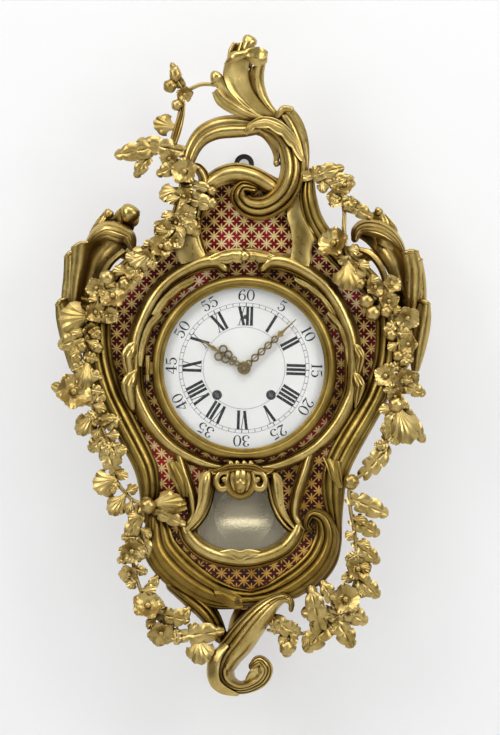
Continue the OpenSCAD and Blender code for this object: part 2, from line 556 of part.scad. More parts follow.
// Garlands: a stem laid over the mouldings, with blooms, buds and leaves on it.
top = seat + 11;
module left_garland() color(gilt) difference() {
  union() {
    run([[186, 90, seat + 2, 5, 5], [182, 104, seat + 2, 6, 6], [176, 128, seat + 2, 6, 6],
      [174, 150, seat + 2, 7, 7], [180, 176, seat + 5, 8, 8], [181, 200, top - 2, 8, 8],
      [174, 225, top, 8, 8], [160, 245, top, 8, 8], [138, 264, top, 8, 8], [114, 290, top, 8, 8],
      [97, 312, top, 8, 8], [86, 340, top, 7, 7], [86, 372, top, 7, 7], [92, 404, top, 7, 7],
      [104, 432, top, 7, 7], [116, 452, top, 6, 6]], rod, 1);
    bud(175, 73, seat + 2, 7);
    leaf(184, 92, 172, 66, seat + 2, 8);
    bud(170, 86, seat + 3, 8);
    bloom(184, 93, seat + 4, 9);
    bud(177, 105, seat + 3, 7);
    leaf(177, 128, 156, 122, seat + 3, 17);
    leaf(176, 150, 118, 156, seat + 2, 17);
    leaf(172, 156, 136, 176, seat + 2, 13);
    bloom(168, 160, seat + 6, 10);
    bloom(185, 172, seat + 9, 13, 5, 20);
    leaf(180, 188, 162, 196, seat + 8, 16);
    bud(185, 195, top, 8);
    leaf(184, 182, 212, 190, seat + 8, 8);
    leaf(182, 196, 213, 205, seat + 10, 13);
    bloom(186, 214, top + 2, 10, 5, 30);
    leaf(178, 216, 196, 232, top - 2, 12);
    bloom(164, 228, top + 2, 9);
    bloom(162, 247, top + 3, 12, 5, 10);
    leaf(150, 254, 130, 262, top - 1, 24);
    leaf(136, 268, 124, 292, top - 1, 14);
    bloom(113, 297, top + 3, 14, 5, 15);
    bud(97, 288, top, 9);
    bud(106, 279, top, 8);
    bloom(95, 312, top + 3, 10);
    leaf(94, 316, 62, 322, top - 2, 26);
    leaf(88, 334, 62, 344, top - 2, 16);
    bud(82, 347, top, 6);
    leaf(86, 342, 75, 362, top - 1, 8);
    bud(78, 357, top - 1, 6);
    leaf(88, 360, 84, 384, top, 20);
    leaf(94, 402, 56, 388, top, 16);
    bloom(73, 393, top + 2, 18, 5, 50);
    leaf(92, 404, 100, 392, top, 14);
    leaf(96, 414, 82, 432, top - 1, 16);
    leaf(102, 428, 118, 420, top, 12);
    leaf(106, 436, 92, 446, top - 1, 13);
  }
  left_frame();
  left_wing();
  crest();
  plume();
  dial_surround();
  case_block(0, front + seat_gap, seat_gap);
}

module right_garland() color(gilt) difference() {
  union() {
    run([[304, 176, seat + 9, 6, 6], [322, 180, seat + 9, 7, 7], [338, 192, seat + 9, 7, 7],
      [344, 210, seat + 9, 7, 7], [344, 232, top - 1, 8, 8], [348, 256, top, 8, 8],
      [364, 280, top, 8, 8], [382, 298, top, 8, 8], [394, 322, top, 8, 8], [399, 350, top, 7, 7],
      [399, 380, top, 7, 7], [394, 408, top, 7, 7], [392, 428, top, 6, 6], [384, 450, top, 6, 6]], rod, 1);
    leaf(306, 174, 340, 168, seat + 9, 12);
    bloom(345, 185, seat + 11, 10);
    bloom(336, 197, seat + 11, 10, 5, 30);
    bud(347, 206, seat + 10, 7);
    bloom(335, 245, top + 2, 16, 5, 8);
    leaf(346, 262, 350, 288, top, 26);
    bloom(374, 288, top + 2, 10);
    bud(391, 285, top, 9);
    bloom(388, 301, top + 2, 10, 5, 20);
    bud(367, 301, top, 8);
    bud(373, 313, top, 8);
    bloom(407, 317, top, 12, 5, 40);
    bud(391, 335, top + 1, 6);
    bloom(408, 343, top, 10);
    bud(402, 360, top, 6);
    bloom(386, 376, top + 1, 11, 5, 12);
    bloom(405, 379, top, 14, 5, 30);
    leaf(402, 384, 422, 396, top - 1, 12);
    bud(396, 405, top + 1, 8);
    leaf(394, 412, 386, 436, top, 14);
    leaf(394, 416, 412, 438, top - 1, 14);
  }
  right_frame();
  right_wing();
  crest();
  dial_surround();
  case_block(0, front + seat_gap, seat_gap);
}

module left_lower_garland() color(gilt) difference() {
  union() {
    run([[113, 460, top - 3, 6, 6], [116, 480, top - 3, 6, 6], [130, 498, top - 3, 7, 7],
      [143, 508, top - 2, 8, 8], [139, 530, seat + 8, 7, 7], [133, 556, seat + 6, 7, 7],
      [137, 580, seat + 4, 7, 7], [148, 606, seat + 4, 7, 7], [165, 625, seat + 4, 7, 7],
      [186, 634, seat + 4, 7, 7], [204, 642, seat + 4, 6, 6]], rod, 1);
    leaf(115, 470, 106, 448, top - 3, 16);
    leaf(118, 478, 98, 488, top - 3, 22);
    leaf(126, 496, 112, 510, top - 3, 16);
    bud(148, 506, top + 1, 8);
    leaf(150, 504, 164, 496, top, 9);
    leaf(140, 508, 130, 540, seat + 9, 11);
    bloom(131, 550, seat + 9, 13, 5, 20);
    bud(130, 573, seat + 5, 9);
    bloom(148, 607, seat + 7, 15, 5, 5);
    leaf(146, 594, 158, 576, seat + 6, 9);
    leaf(156, 612, 194, 612, seat + 6, 16);
    bloom(161, 632, seat + 5, 13, 4, 40);
    leaf(180, 630, 224, 624, seat + 5, 21);
    bloom(200, 647, seat + 5, 13, 5, 10);
  }
  left_frame();
  left_garland();
  lower_frame();
  bottom_scroll();
  case_block(0, front + seat_gap, seat_gap);
}

module right_lower_garland() color(gilt) difference() {
  union() {
    run([[382, 452, top - 3, 6, 6], [368, 470, top - 3, 6, 6], [351, 484, top - 1, 7, 7],
      [350, 505, seat + 8, 7, 7], [355, 535, seat + 6, 6, 6], [357, 565, seat + 5, 6, 6],
      [352, 592, seat + 4, 7, 7], [336, 618, seat + 4, 7, 7], [310, 632, seat + 4, 6, 6],
      [288, 634, seat + 4, 6, 6], [268, 630, seat + 8, 5, 5]], rod, 1);
    leaf(366, 472, 386, 452, top - 3, 18);
    bud(351, 482, top, 8);
    leaf(351, 498, 382, 514, seat + 8, 15);
    leaf(353, 522, 374, 532, seat + 6, 12);
    leaf(356, 545, 374, 562, seat + 5, 11);
    bloom(357, 570, seat + 7, 14, 5, 18);
    leaf(356, 576, 374, 594, seat + 5, 13);
    bloom(345, 600, seat + 8, 15, 5, 30);
    leaf(344, 610, 362, 622, seat + 5, 14);
    leaf(336, 620, 352, 642, seat + 4, 15);
    leaf(330, 616, 292, 608, seat + 6, 17);
    leaf(330, 622, 308, 646, seat + 4, 17);
    leaf(292, 632, 286, 654, seat + 3, 12);
    bud(287, 646, seat + 3, 9);
    leaf(294, 634, 270, 618, seat + 6, 13);
  }
  right_frame();
  right_garland();
  lower_frame();
  bottom_scroll();
  case_block(0, front + seat_gap, seat_gap);
}

// Bezel, glass and hinge. The glass lies in a pocket behind the lip, outside the dial.
bead = bezel_r - sight_r;
pocket_in = max(dial_r, sight_r + 1.5);
pocket_r = pocket_in + 0.25 * (bezel_r - pocket_in);
glass_top = glass_seat + glass_gap;
module bezel() color(gilt) difference() {
  union() {
    on_dial(O, 0) rotate_extrude() polygon([[pocket_r, bezel_back], [bezel_r, bezel_back],
      [bezel_r, glass_top], [bezel_r - 0.16 * bead, bezel_top - 1.8], [bezel_r - 0.4 * bead, bezel_top],
      [bezel_r - 0.6 * bead, bezel_top - 0.6], [sight_r + 0.08 * bead, bezel_top - 2.6],
      [sight_r, bezel_top - 3], [sight_r, glass_top], [pocket_r, glass_top]]);
    on_dial([hinge_x, -knuckle_len / 2], hinge_z) rotate([-90, 0, 0])
      cylinder(r = knuckle_r, h = knuckle_len);
    on_dial([hinge_x, -knuckle_len / 2], hinge_z - 2) cube([7, knuckle_len, 2.6]);
  }
  on_dial([hinge_x, -knuckle_len], hinge_z) rotate([-90, 0, 0])
    cylinder(r = hinge_pin_r + run_gap, h = 2 * knuckle_len);
}

glass_rim = pocket_r - glass_gap;
glass_in = sight_r - 2 * glass_gap;
glass_round = (glass_in * glass_in + glass_rise * glass_rise) / (2 * glass_rise);
function dome(r) = sqrt(glass_round * glass_round - r * r) - glass_round + glass_rise;
module bezel_glass() color(clear) on_dial(O, glass_seat)
  rotate_extrude() polygon(concat(
    [for (k = [0:8]) [(glass_in - 1) * k / 8, dome(glass_in * k / 8) - glass_t]],
    [[glass_rim, -glass_t], [glass_rim, 0]],
    [for (k = [8:-1:0]) [glass_in * k / 8, dome(glass_in * k / 8)]]));

module hinge_leaf() color(gilt) difference() {
  union() for (s = [-1, 1]) {
    lo = s > 0 ? knuckle_len / 2 + 0.3 : -knuckle_len / 2 - 6.3;
    on_dial([hinge_x, lo], hinge_z) rotate([-90, 0, 0]) cylinder(r = knuckle_r, h = 6);
    on_dial([hinge_x - knuckle_r, lo], front) cube([2 * knuckle_r - 1.6, 6, hinge_z - front]);
  }
  on_dial([hinge_x, -knuckle_len * 2], hinge_z) rotate([-90, 0, 0])
    cylinder(r = hinge_pin_r + fit_gap / 2, h = 4 * knuckle_len);
}

module hinge_pin() color(steel) on_dial([hinge_x, -knuckle_len / 2 - 6.8], hinge_z)
  rotate([-90, 0, 0]) {
    cylinder(r = hinge_pin_r, h = knuckle_len + 13.6);
    translate([0, 0, -1]) cylinder(r = hinge_pin_r + 0.6, h = 1);
  }

// Dial, its plate, and the hands.
module dial() color(enamel) {
  difference() {
    on_dial(O, dial_back) cylinder(r = dial_r, h = dial_t);
    on_dial(O, dial_back - 1) cylinder(r = 4.2, h = dial_t + 2);
    for (p = [going_at, strike_at]) on_dial(p, dial_back - 1) cylinder(r = winding_hole_r, h = dial_t + 2);
    on_dial(regulator_at, dial_back - 1) cylinder(r = 2.2, h = dial_t + 2);
  }
  for (p = dial_feet) on_dial(p, panel_back - dial_plate_t - 1)
    cylinder(r = 1.5, h = dial_back - panel_back + dial_plate_t + 1.5);
}

module dial_plate() color(brass) difference() {
  union() {
    on_dial(O, panel_back - dial_plate_t) cylinder(r = dial_r + 8, h = dial_plate_t - seat_gap);
    for (p = pillars) on_dial(p, plate_front) cylinder(r = 4, h = panel_back - plate_front - 1);
  }
  on_dial(O, 0) cylinder(r = 48, h = 2 * front);
  for (p = plate_holes) on_dial(p, 0) cylinder(r = 1.2 + fit_gap, h = 2 * front);
  for (p = dial_feet) on_dial(p, 0) cylinder(r = 1.5 + fit_gap, h = 2 * front);
  for (p = pillars) on_dial(p, 0) cylinder(r = 1.4 + fit_gap, h = 2 * front);
  on_dial(regulator_at, 0) cylinder(r = 2.4, h = 2 * front);
}

module movement_screws() color(steel) {
  for (p = plate_holes) {
    on_dial(p, panel_back - dial_plate_t - 1.2) cylinder(r = 2.2, h = 1.2);
    on_dial(p, panel_back - dial_plate_t - 1.2) cylinder(r = 1.2, h = 5.8);
  }
  for (p = pillars) {
    on_dial(p, plate_in - 6) cylinder(r = 1.4, h = panel_back - plate_in + 6.2);
    on_dial(p, panel_back) cylinder(r = 2.4, h = 1.4);
  }
}

hour_level = dial_face + 2;
minute_level = dial_face + 3.9;
hour_angle = 90 - 303;
minute_angle = 90 - 47;
module hour_hand() color(gilt) on_dial(O, hour_level) rotate(hour_angle) difference() {
  union() {
    cylinder(r = 5, h = 1.2);
    translate([3, -1.4, 0]) cube([hour_hand_len - 16, 2.8, 1.2]);
    for (p = [[21, 4.2], [21, -4.2], [27, 0], [16, 0]]) translate([p.x, p.y, 0]) cylinder(r = 4.6, h = 1.2);
    linear_extrude(1.2) polygon([[30, -1.4], [hour_hand_len - 14, -4.4], [hour_hand_len, 0],
      [hour_hand_len - 14, 4.4], [30, 1.4]]);
  }
  translate([0, 0, -1]) cylinder(r = 3 + fit_gap, h = 4);
  for (p = [[21, 4.4], [21, -4.4], [28, 0]]) translate([p.x, p.y, -1]) cylinder(r = 2, h = 4);
}

module minute_hand() color(gilt) on_dial(O, minute_level) rotate(minute_angle) difference() {
  union() {
    cylinder(r = 4.4, h = 1.2);
    linear_extrude(1.2) polygon([[2, -1.2], [18, -1.6], [30, -4], [44, -1.6], [50, -2.4], [56, -1.2],
      [minute_hand_len, 0], [56, 1.2], [50, 2.4], [44, 1.6], [30, 4], [18, 1.6], [2, 1.2]]);
  }
  translate([0, 0, -1]) cylinder(r = 2 + fit_gap, h = 4);
  translate([0, 0, -1]) linear_extrude(4) polygon([[21, 0], [30, -2.2], [39, 0], [30, 2.2]]);
}

// Movement plates. The back plate carries the riveted pillars.
going_pivots = [second_at, third_at, escape_at];
strike_pivots = [strike_second_at, pin_at, warning_at, fly_at, hammer_at];
module plate_shape() translate([-plate_half, -plate_half - 1]) square([2 * plate_half, 2 * plate_half + 1]);

module front_plate() color(brass) {
  difference() {
    on_dial(O, plate_in) linear_extrude(plate_t) plate_shape();
    for (p = concat(going_pivots, strike_pivots, [anchor_at]))
      on_dial(p, plate_in - 1) cylinder(r = pivot_r + run_gap, h = plate_t + 2);
    on_dial(O, plate_in - 1) cylinder(r = 1.2 + run_gap, h = plate_t + 2);
    for (p = [going_at, strike_at]) on_dial(p, plate_in - 1)
      cylinder(r = winding_r + run_gap, h = plate_t + 2);
    for (p = pillars) on_dial(p, plate_in - 1) cylinder(r = 1.4 + fit_gap, h = plate_t + 2);
    on_dial(regulator_at, plate_in - 1) cylinder(r = 1.2 + run_gap, h = plate_t + 2);
  }
  on_dial(minute_at, plate_front - 1) cylinder(r = 1, h = 8.2);
  for (p = [going_click_at, strike_click_at]) on_dial(p, plate_front - 1) cylinder(r = 1.2, h = 2.9);
}

module back_plate() color(brass) difference() {
  union() {
    on_dial(O, back_out) linear_extrude(plate_t) plate_shape();
    for (p = pillars) on_dial(p, back_in - 1) cylinder(r = pillar_r, h = plate_gap + 1 - seat_gap);
  }
  for (p = [second_at, third_at, escape_at, pin_at, warning_at, fly_at, hammer_at])
    on_dial(p, back_out - 1) cylinder(r = pivot_r + run_gap, h = plate_t + 2);
  on_dial(strike_second_at, back_out - 1) cylinder(r = arbor_r + run_gap, h = plate_t + 2);
  on_dial(O, back_out - 1) cylinder(r = 1 + run_gap, h = plate_t + 2);
  for (p = [going_at, strike_at]) on_dial(p, back_out - 1) cylinder(r = 2 + run_gap, h = plate_t + 2);
  on_dial(anchor_at, back_out - 1) cylinder(r = 3.2, h = plate_t + 2);
  for (p = pillars) on_dial(p, plate_in - 7) cylinder(r = 1.4 + fit_gap, h = 9);
  for (p = cock_holes) on_dial(p, back_out - 1) cylinder(r = 1.2 + fit_gap, h = plate_t + 2);
  for (p = stand_holes) on_dial(p, back_out - 1) cylinder(r = 1.2 + fit_gap, h = plate_t + 2);
}

// Back cock: bears the anchor's rear pivot and clamps the suspension spring.
cock_holes = [for (s = [-1, 1]) anchor_at + [s * 12, 2]];
cock_bar = back_out - 7;
module back_cock() color(brass) difference() {
  union() {
    for (s = [-1, 1]) on_dial(anchor_at + [s * 12 - 4, -3], cock_bar) cube([8, 9, 7 - seat_gap]);
    on_dial(anchor_at + [-16, -3], cock_bar) cube([32, 9, 3]);
    on_dial(anchor_at + [-6, 3], cock_bar - 7) cube([12, 6, 8]);
    for (p = cock_holes) on_dial(p, cock_bar) cylinder(r = 1.2, h = 7 + plate_t - 0.3);
  }
  on_dial(anchor_at, cock_bar - 1) cylinder(r = pivot_r + run_gap, h = 5);
  on_dial(anchor_at + [-0.8, 0], cock_bar - 8) cube([1.6, 7.5, 6.4]);
}

stand_holes = [[36, 44], [30, 52]];
bell_at = [0, 102];
module bell_stand() color(steel) difference() {
  union() {
    on_dial(O, back_out - 2.6) linear_extrude(2.5) polygon([[26, 49], [40, 39], [43, 46], [34, 58],
      [8, 105], [-4, 107], [-6, 98], [2, 94]]);
    on_dial(bell_at, back_out - 2.6) cylinder(r = 2.2, h = 31);
    on_dial(bell_at, back_out - 2.6) cylinder(r = 1.4, h = 41);
    on_dial(bell_at, back_out + 36.2) cylinder(r = 3, h = 2.4);
    for (p = stand_holes) on_dial(p, back_out - 2) cylinder(r = 1.2, h = 2 + plate_t - 0.3);
  }
}

module bell() color(brass) on_dial(bell_at, back_out + 6.2) difference() {
  rotate_extrude() polygon([[1.4 + fit_gap, 26.2], [1.4 + fit_gap, 29], [bell_r * 0.42, 28.4],
    [bell_r * 0.7, 24.5], [bell_r * 0.88, 17], [bell_r * 0.95, 8], [bell_r, 0], [bell_r - 2.2, 0],
    [bell_r * 0.95 - 2.2, 8], [bell_r * 0.88 - 2.4, 15.6], [bell_r * 0.7 - 2, 22.3], [bell_r * 0.42, 26]]);
}

// Spring barrels, springs, winding arbors and clicks.
function lev(s) = back_in + s;
great_t = 2.5;
barrel_lo = 13;
module barrel(c, turn) on_dial(c, lev(barrel_lo)) difference() {
  union() {
    linear_extrude(great_t) gear(great_z, great_m, turn);
    translate([0, 0, 1]) cylinder(r = barrel_r, h = plate_gap - barrel_lo - 2.4);
  }
  translate([0, 0, great_t]) cylinder(r = barrel_r - 1.4, h = plate_gap - barrel_lo - 3.4 - great_t);
  translate([0, 0, -1]) cylinder(r = winding_r + run_gap, h = plate_gap);
}
module going_barrel() color(brass) barrel(going_at, great_turn);
module strike_barrel() color(brass) barrel(strike_at, 0);

spring_turns = 5;
spring_t = 0.7;
function spiral(r0, r1, n, k) = [for (i = [0:k]) polar(r0 + (r1 - r0) * i / k, 360 * n * i / k)];
module mainspring(c) on_dial(c, lev(barrel_lo + great_t + 0.5))
  linear_extrude(plate_gap - barrel_lo - great_t - 4.6)
  polygon(concat(spiral(6, barrel_r - 1.6, spring_turns, 90),
    [for (i = [90:-1:0]) spiral(6 - spring_t, barrel_r - 1.6 - spring_t, spring_turns, 90)[i]]));
module going_mainspring() color(steel) mainspring(going_at);
module strike_mainspring() color(steel) mainspring(strike_at);

ratchet_teeth = 24;
module winder(c) {
  on_dial(c, lev(end_shake)) cylinder(r = winding_r, h = plate_front - lev(end_shake) + 1);
  on_dial(c, back_out + 0.2) cylinder(r = 2, h = 4);
  on_dial(c, plate_front + 0.25) linear_extrude(1.7) polygon([for (i = [0:ratchet_teeth - 1]) each
    [polar(ratchet_r, i * 360 / ratchet_teeth), polar(ratchet_r - 1.4, (i + 0.15) * 360 / ratchet_teeth)]]);
  on_dial(c - [1, 1] * winding_square / 2, plate_front)
    cube([winding_square, winding_square, dial_back - plate_front - 0.8]);
}
module going_winding_arbor() color(steel) winder(going_at);
module strike_winding_arbor() color(steel) winder(strike_at);

module click(c, hub, side) {
  a = way_to(c, hub);
  on_dial(c, plate_front + 0.3) rotate(a) difference() {
    union() {
      cylinder(r = 2.6, h = 1.5);
      linear_extrude(1.5) polygon([[0, side * 2.5], [7, side * 6.4], [5.4, side * 8], [-1, side * 2.4],
        [-2, 0], [0, -side * 1]]);
    }
    translate([0, 0, -1]) cylinder(r = 1.2 + run_gap, h = 4);
  }
}
module going_click() color(steel) click(going_click_at, going_at, 1);
module strike_click() color(steel) click(strike_click_at, strike_at, -1);

// Going train.
module second_wheel() color(brass) {
  spindle(second_at, lev(end_shake), lev(plate_gap - end_shake), plate_t);
  on_dial(second_at, lev(8)) wheel(second_z, second_m, second_pinion_turn, wheel_t);
  on_dial(second_at, lev(8)) cylinder(r = 3, h = 3);
  on_dial(second_at, lev(12.4)) linear_extrude(3.8) gear(great_pinion, great_m, second_pinion_turn);
}
module centre_wheel() color(brass) {
  on_dial(O, lev(end_shake)) cylinder(r = 1.2, h = minute_level + 3 - lev(end_shake));
  on_dial(O, back_out) cylinder(r = 1, h = 4);
  on_dial(O, lev(2.5)) wheel(centre_z, centre_m, centre_pinion_turn, wheel_t);
  on_dial(O, lev(2.5)) cylinder(r = 3, h = 3);
  on_dial(O, lev(7.4)) linear_extrude(2.8) gear(second_pinion, second_m, centre_pinion_turn);
}
module third_wheel() color(brass) {
  spindle(third_at, lev(end_shake), lev(plate_gap - end_shake), plate_t);
  on_dial(third_at, lev(17)) wheel(third_z, third_m, third_pinion_turn, wheel_t);
  on_dial(third_at, lev(17)) cylinder(r = 3, h = 3);
  on_dial(third_at, lev(1.8)) linear_extrude(2.8) gear(third_pinion, centre_m, third_pinion_turn);
}
escape_teeth = 30;
module escape_wheel() color(brass) {
  spindle(escape_at, lev(end_shake), lev(plate_gap - end_shake), plate_t);
  on_dial(escape_at, lev(3)) difference() {
    linear_extrude(wheel_t) polygon([for (i = [0:escape_teeth - 1]) each
      [polar(escape_r, i * 12), polar(escape_r - 0.1, i * 12 + 0.9), polar(escape_r - 1.9, i * 12 + 5)]]);
    crossings(2.8, escape_r - 3.2, 4, 26);
  }
  on_dial(escape_at, lev(3)) cylinder(r = 2.4, h = 2.6);
  on_dial(escape_at, lev(16.4)) linear_extrude(2.8) gear(escape_pinion, third_m, escape_pinion_turn);
}

// Anchor, crutch and pendulum, all about one line.
crutch_len = 40;
pendulum_z = cock_bar - 4;
module anchor() color(steel) {
  on_dial(anchor_at, cock_bar + 3.2) cylinder(r = arbor_r, h = lev(plate_gap - end_shake) - cock_bar - 3.2);
  on_dial(anchor_at, cock_bar + 0.4) cylinder(r = pivot_r, h = plate_front - cock_bar - 0.4);
  on_dial(anchor_at, lev(3)) linear_extrude(wheel_t) polygon([[0, 2.6], [4, 1.4], [9, -3], [9.9, -6.6],
    [8.6, -6.6], [7.2, -3.8], [3, -1.6], [0, -1.4], [-3, -1.6], [-7.2, -3.8], [-8.6, -6.6],
    [-9.9, -6.6], [-9, -3], [-4, 1.4]]);
  on_dial(anchor_at, back_out - 3.4) cylinder(r = 2.4, h = 2.4);
  on_dial(anchor_at + [-1, -crutch_len], back_out - 2.6) cube([2, crutch_len, 1.4]);
  for (s = [-1, 1]) on_dial(anchor_at + [s * 2.6 - 0.6, -crutch_len], pendulum_z - 3)
    cube([1.2, 2.4, back_out - 1.2 - pendulum_z + 3]);
  on_dial(anchor_at + [-3.2, -crutch_len], back_out - 2.6) cube([6.4, 2.4, 1.4]);
}

module pendulum_rod() color(steel) {
  on_dial(anchor_at + [-0.25, -16], pendulum_z - 2) cube([0.5, 22, 4]);
  on_dial(anchor_at + [-2, -18], pendulum_z - 2.6) cube([4, 6, 5.2]);
  on_dial(anchor_at + [0, -pendulum_len - bob_r - 10], pendulum_z) rotate([-90, 0, 0])
    cylinder(r = 1.2, h = pendulum_len + bob_r - 6);
  on_dial(anchor_at + [0, -pendulum_len - bob_r - 5], pendulum_z) rotate([-90, 0, 0])
    cylinder(r = 3, h = 4.4, $fn = 6);
}

bob_round = (bob_r * bob_r + bob_t * bob_t / 4) / bob_t;
module bob_half() rotate_extrude() polygon(concat([[0, 0]], [for (k = [8:-1:0])
  [bob_r * k / 8, sqrt(bob_round * bob_round - bob_r * bob_r * k * k / 64) - bob_round + bob_t / 2]]));
module pendulum_bob() color(brass) on_dial(anchor_at + [0, -pendulum_len], pendulum_z) difference() {
  union() {
    bob_half();
    mirror([0, 0, 1]) bob_half();
  }
  translate([0, -bob_r - 1, 0]) rotate([-90, 0, 0]) cylinder(r = 1.2 + fit_gap, h = 2 * bob_r + 2);
}

// Motion work under the dial.
module cannon_pinion() color(steel) on_dial(O, plate_front + 0.4) difference() {
  union() {
    linear_extrude(3.6) gear(cannon_z, motion_m, centre_pinion_turn);
    cylinder(r = 2, h = minute_level + 1.8 - plate_front - 0.4);
  }
  translate([0, 0, -1]) cylinder(r = 1.2 + fit_gap / 2, h = 40);
}
module minute_wheel() color(brass) on_dial(minute_at, plate_front + 1) difference() {
  union() {
    linear_extrude(wheel_t) gear(minute_z, motion_m, minute_turn);
    linear_extrude(5.4) gear(hour_pinion, hour_m, minute_turn);
  }
  translate([0, 0, -1]) cylinder(r = 1 + run_gap, h = 9);
}
module hour_wheel() color(brass) on_dial(O, plate_front + 4.4) difference() {
  union() {
    linear_extrude(wheel_t) gear(hour_z, hour_m, hour_turn);
    cylinder(r = 3, h = hour_level + 1.4 - plate_front - 4.4);
  }
  translate([0, 0, -1]) cylinder(r = 2 + run_gap, h = 40);
}
module regulator_arbor() color(steel) {
  on_dial(regulator_at, plate_in - 3.2) cylinder(r = 1.2, h = dial_back - plate_in + 2.6);
  on_dial(regulator_at, plate_in - 3.2) cylinder(r = 2, h = 3);
  on_dial(regulator_at, plate_front + 0.2) cylinder(r = 1.8, h = 1);
}

// Striking train.
module strike_second_wheel() color(brass) {
  on_dial(strike_second_at, back_out - 3.6)
    cylinder(r = arbor_r, h = lev(plate_gap - end_shake) - back_out + 3.6);
  on_dial(strike_second_at, lev(1)) cylinder(r = pivot_r, h = plate_gap + plate_t - 1);
  on_dial(strike_second_at, lev(8)) wheel(strike_z, strike_m, strike_pinion_turn, wheel_t);
  on_dial(strike_second_at, lev(8)) cylinder(r = 3, h = 3);
  on_dial(strike_second_at, lev(12.4)) linear_extrude(3.8) gear(great_pinion, great_m, strike_pinion_turn);
}
pin_count = 10;
module pin_wheel() color(brass) {
  spindle(pin_at, lev(end_shake), lev(plate_gap - end_shake), plate_t);
  on_dial(pin_at, lev(17)) wheel(pin_z, pin_m, pin_pinion_turn, wheel_t);
  on_dial(pin_at, lev(17)) cylinder(r = 3, h = 3);
  for (i = [0:pin_count - 1]) on_dial(pin_at + polar(pin_z * pin_m / 2 - 1.5, i * 36), lev(17.5))
    cylinder(r = 0.5, h = 3.5);
  on_dial(pin_at, lev(7.4)) linear_extrude(2.8) gear(pin_pinion, strike_m, pin_pinion_turn);
}
module warning_wheel() color(brass) {
  spindle(warning_at, lev(end_shake), lev(plate_gap - end_shake), plate_t);
  on_dial(warning_at, lev(25)) wheel(warning_z, warning_m, warning_turn, wheel_t);
  on_dial(warning_at, lev(25)) cylinder(r = 2.6, h = 3);
  on_dial(warning_at, lev(16.4)) linear_extrude(2.8) gear(warning_pinion, pin_m, warning_turn);
}
module fly() color(brass) {
  spindle(fly_at, lev(end_shake), lev(plate_gap - end_shake), plate_t);
  on_dial(fly_at, lev(24.4)) linear_extrude(2.8) gear(fly_pinion, warning_m, fly_turn);
  on_dial(fly_at - [fly_r, 0.3], lev(8.5)) cube([2 * fly_r, 0.6, 13]);
  on_dial(fly_at, lev(7.5)) cylinder(r = 1.5, h = 15);
}
// Count wheel: notches at the running sum of blows, with one blow at each half hour.
count_r = 13;
function blows(h) = h == 0 ? 0 : blows(h - 1) + h + 1;
module count_wheel() color(brass) on_dial(strike_second_at, back_out - 3.2) difference() {
  cylinder(r = count_r, h = 1.6);
  translate([0, 0, -1]) cylinder(r = arbor_r + fit_gap / 2, h = 4);
  for (h = [0:11]) rotate(blows(h) * 4) translate([count_r - 2, -0.6, -1]) cube([4, 1.2, 4]);
  crossings(3.4, count_r - 4, 4, 26);
}

hammer_len = 39.4;
module hammer() color(steel) {
  spindle(hammer_at, lev(end_shake), lev(plate_gap - end_shake), plate_t);
  on_dial(hammer_at, lev(9)) cylinder(r = 2.4, h = 4);
  on_dial(hammer_at, lev(10)) rotate(91) translate([0, -0.9, 0]) cube([hammer_len, 1.8, 2]);
  on_dial(hammer_at + hammer_len * [cos(91), sin(91)], lev(6)) cylinder(r = 3.6, h = 9);
  on_dial(hammer_at, lev(19)) cylinder(r = 2.2, h = 3);
  on_dial(hammer_at, lev(19)) rotate(-70) translate([0, -0.8, 0]) cube([13, 1.6, 2]);
}

stood() backboard();
stood() carcass();
stood() front_panel();
stood() rear_cover();
stood() case_screws();
stood() hanging_eye();
stood() left_frame();
stood() right_frame();
stood() dial_surround();
stood() window_frame();
stood() window_glass();
stood() crest();
stood() plume();
stood() left_wing();
stood() right_wing();
stood() left_garland();
stood() right_garland();
stood() left_lower_garland();
stood() right_lower_garland();
stood() lower_frame();
stood() bottom_scroll();
stood() hinge_leaf();
stood() hinge_pin();
stood() bezel();
stood() bezel_glass();
stood() dial();
stood() dial_plate();
stood() minute_hand();
stood() hour_hand();
stood() front_plate();
stood() back_plate();
stood() movement_screws();
stood() back_cock();
stood() bell();
stood() bell_stand();
stood() going_barrel();
stood() going_mainspring();
stood() going_winding_arbor();
stood() going_click();
stood() second_wheel();
stood() centre_wheel();
stood() third_wheel();
stood() escape_wheel();
stood() anchor();
stood() pendulum_rod();
stood() pendulum_bob();
stood() cannon_pinion();
stood() minute_wheel();
stood() hour_wheel();
stood() regulator_arbor();
stood() strike_barrel();
stood() strike_mainspring();
stood() strike_winding_arbor();
stood() strike_click();
stood() strike_second_wheel();
stood() pin_wheel();
stood() warning_wheel();
stood() fly();
stood() count_wheel();
stood() hammer();
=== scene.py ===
"""Cartel clock: gilt bronze mounts, star inlay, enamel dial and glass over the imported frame."""
import json
from math import atan2, cos, exp, hypot, pi, radians, sin

import bpy
from mathutils import Matrix, Vector


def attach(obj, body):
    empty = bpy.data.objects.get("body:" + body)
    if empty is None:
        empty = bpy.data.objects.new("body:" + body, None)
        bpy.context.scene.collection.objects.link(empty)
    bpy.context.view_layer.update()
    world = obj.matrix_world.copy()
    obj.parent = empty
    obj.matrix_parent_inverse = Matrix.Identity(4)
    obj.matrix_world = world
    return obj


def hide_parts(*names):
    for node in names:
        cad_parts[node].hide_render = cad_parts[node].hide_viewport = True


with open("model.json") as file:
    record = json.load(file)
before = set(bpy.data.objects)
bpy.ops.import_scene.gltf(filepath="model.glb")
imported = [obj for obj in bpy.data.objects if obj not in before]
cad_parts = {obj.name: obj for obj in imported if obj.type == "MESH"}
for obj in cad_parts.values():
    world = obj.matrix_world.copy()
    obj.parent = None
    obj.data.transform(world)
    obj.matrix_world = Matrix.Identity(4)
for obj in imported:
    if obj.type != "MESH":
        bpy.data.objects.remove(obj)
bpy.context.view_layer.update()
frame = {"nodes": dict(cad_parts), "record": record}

bpy.ops.object.select_all(action="DESELECT")

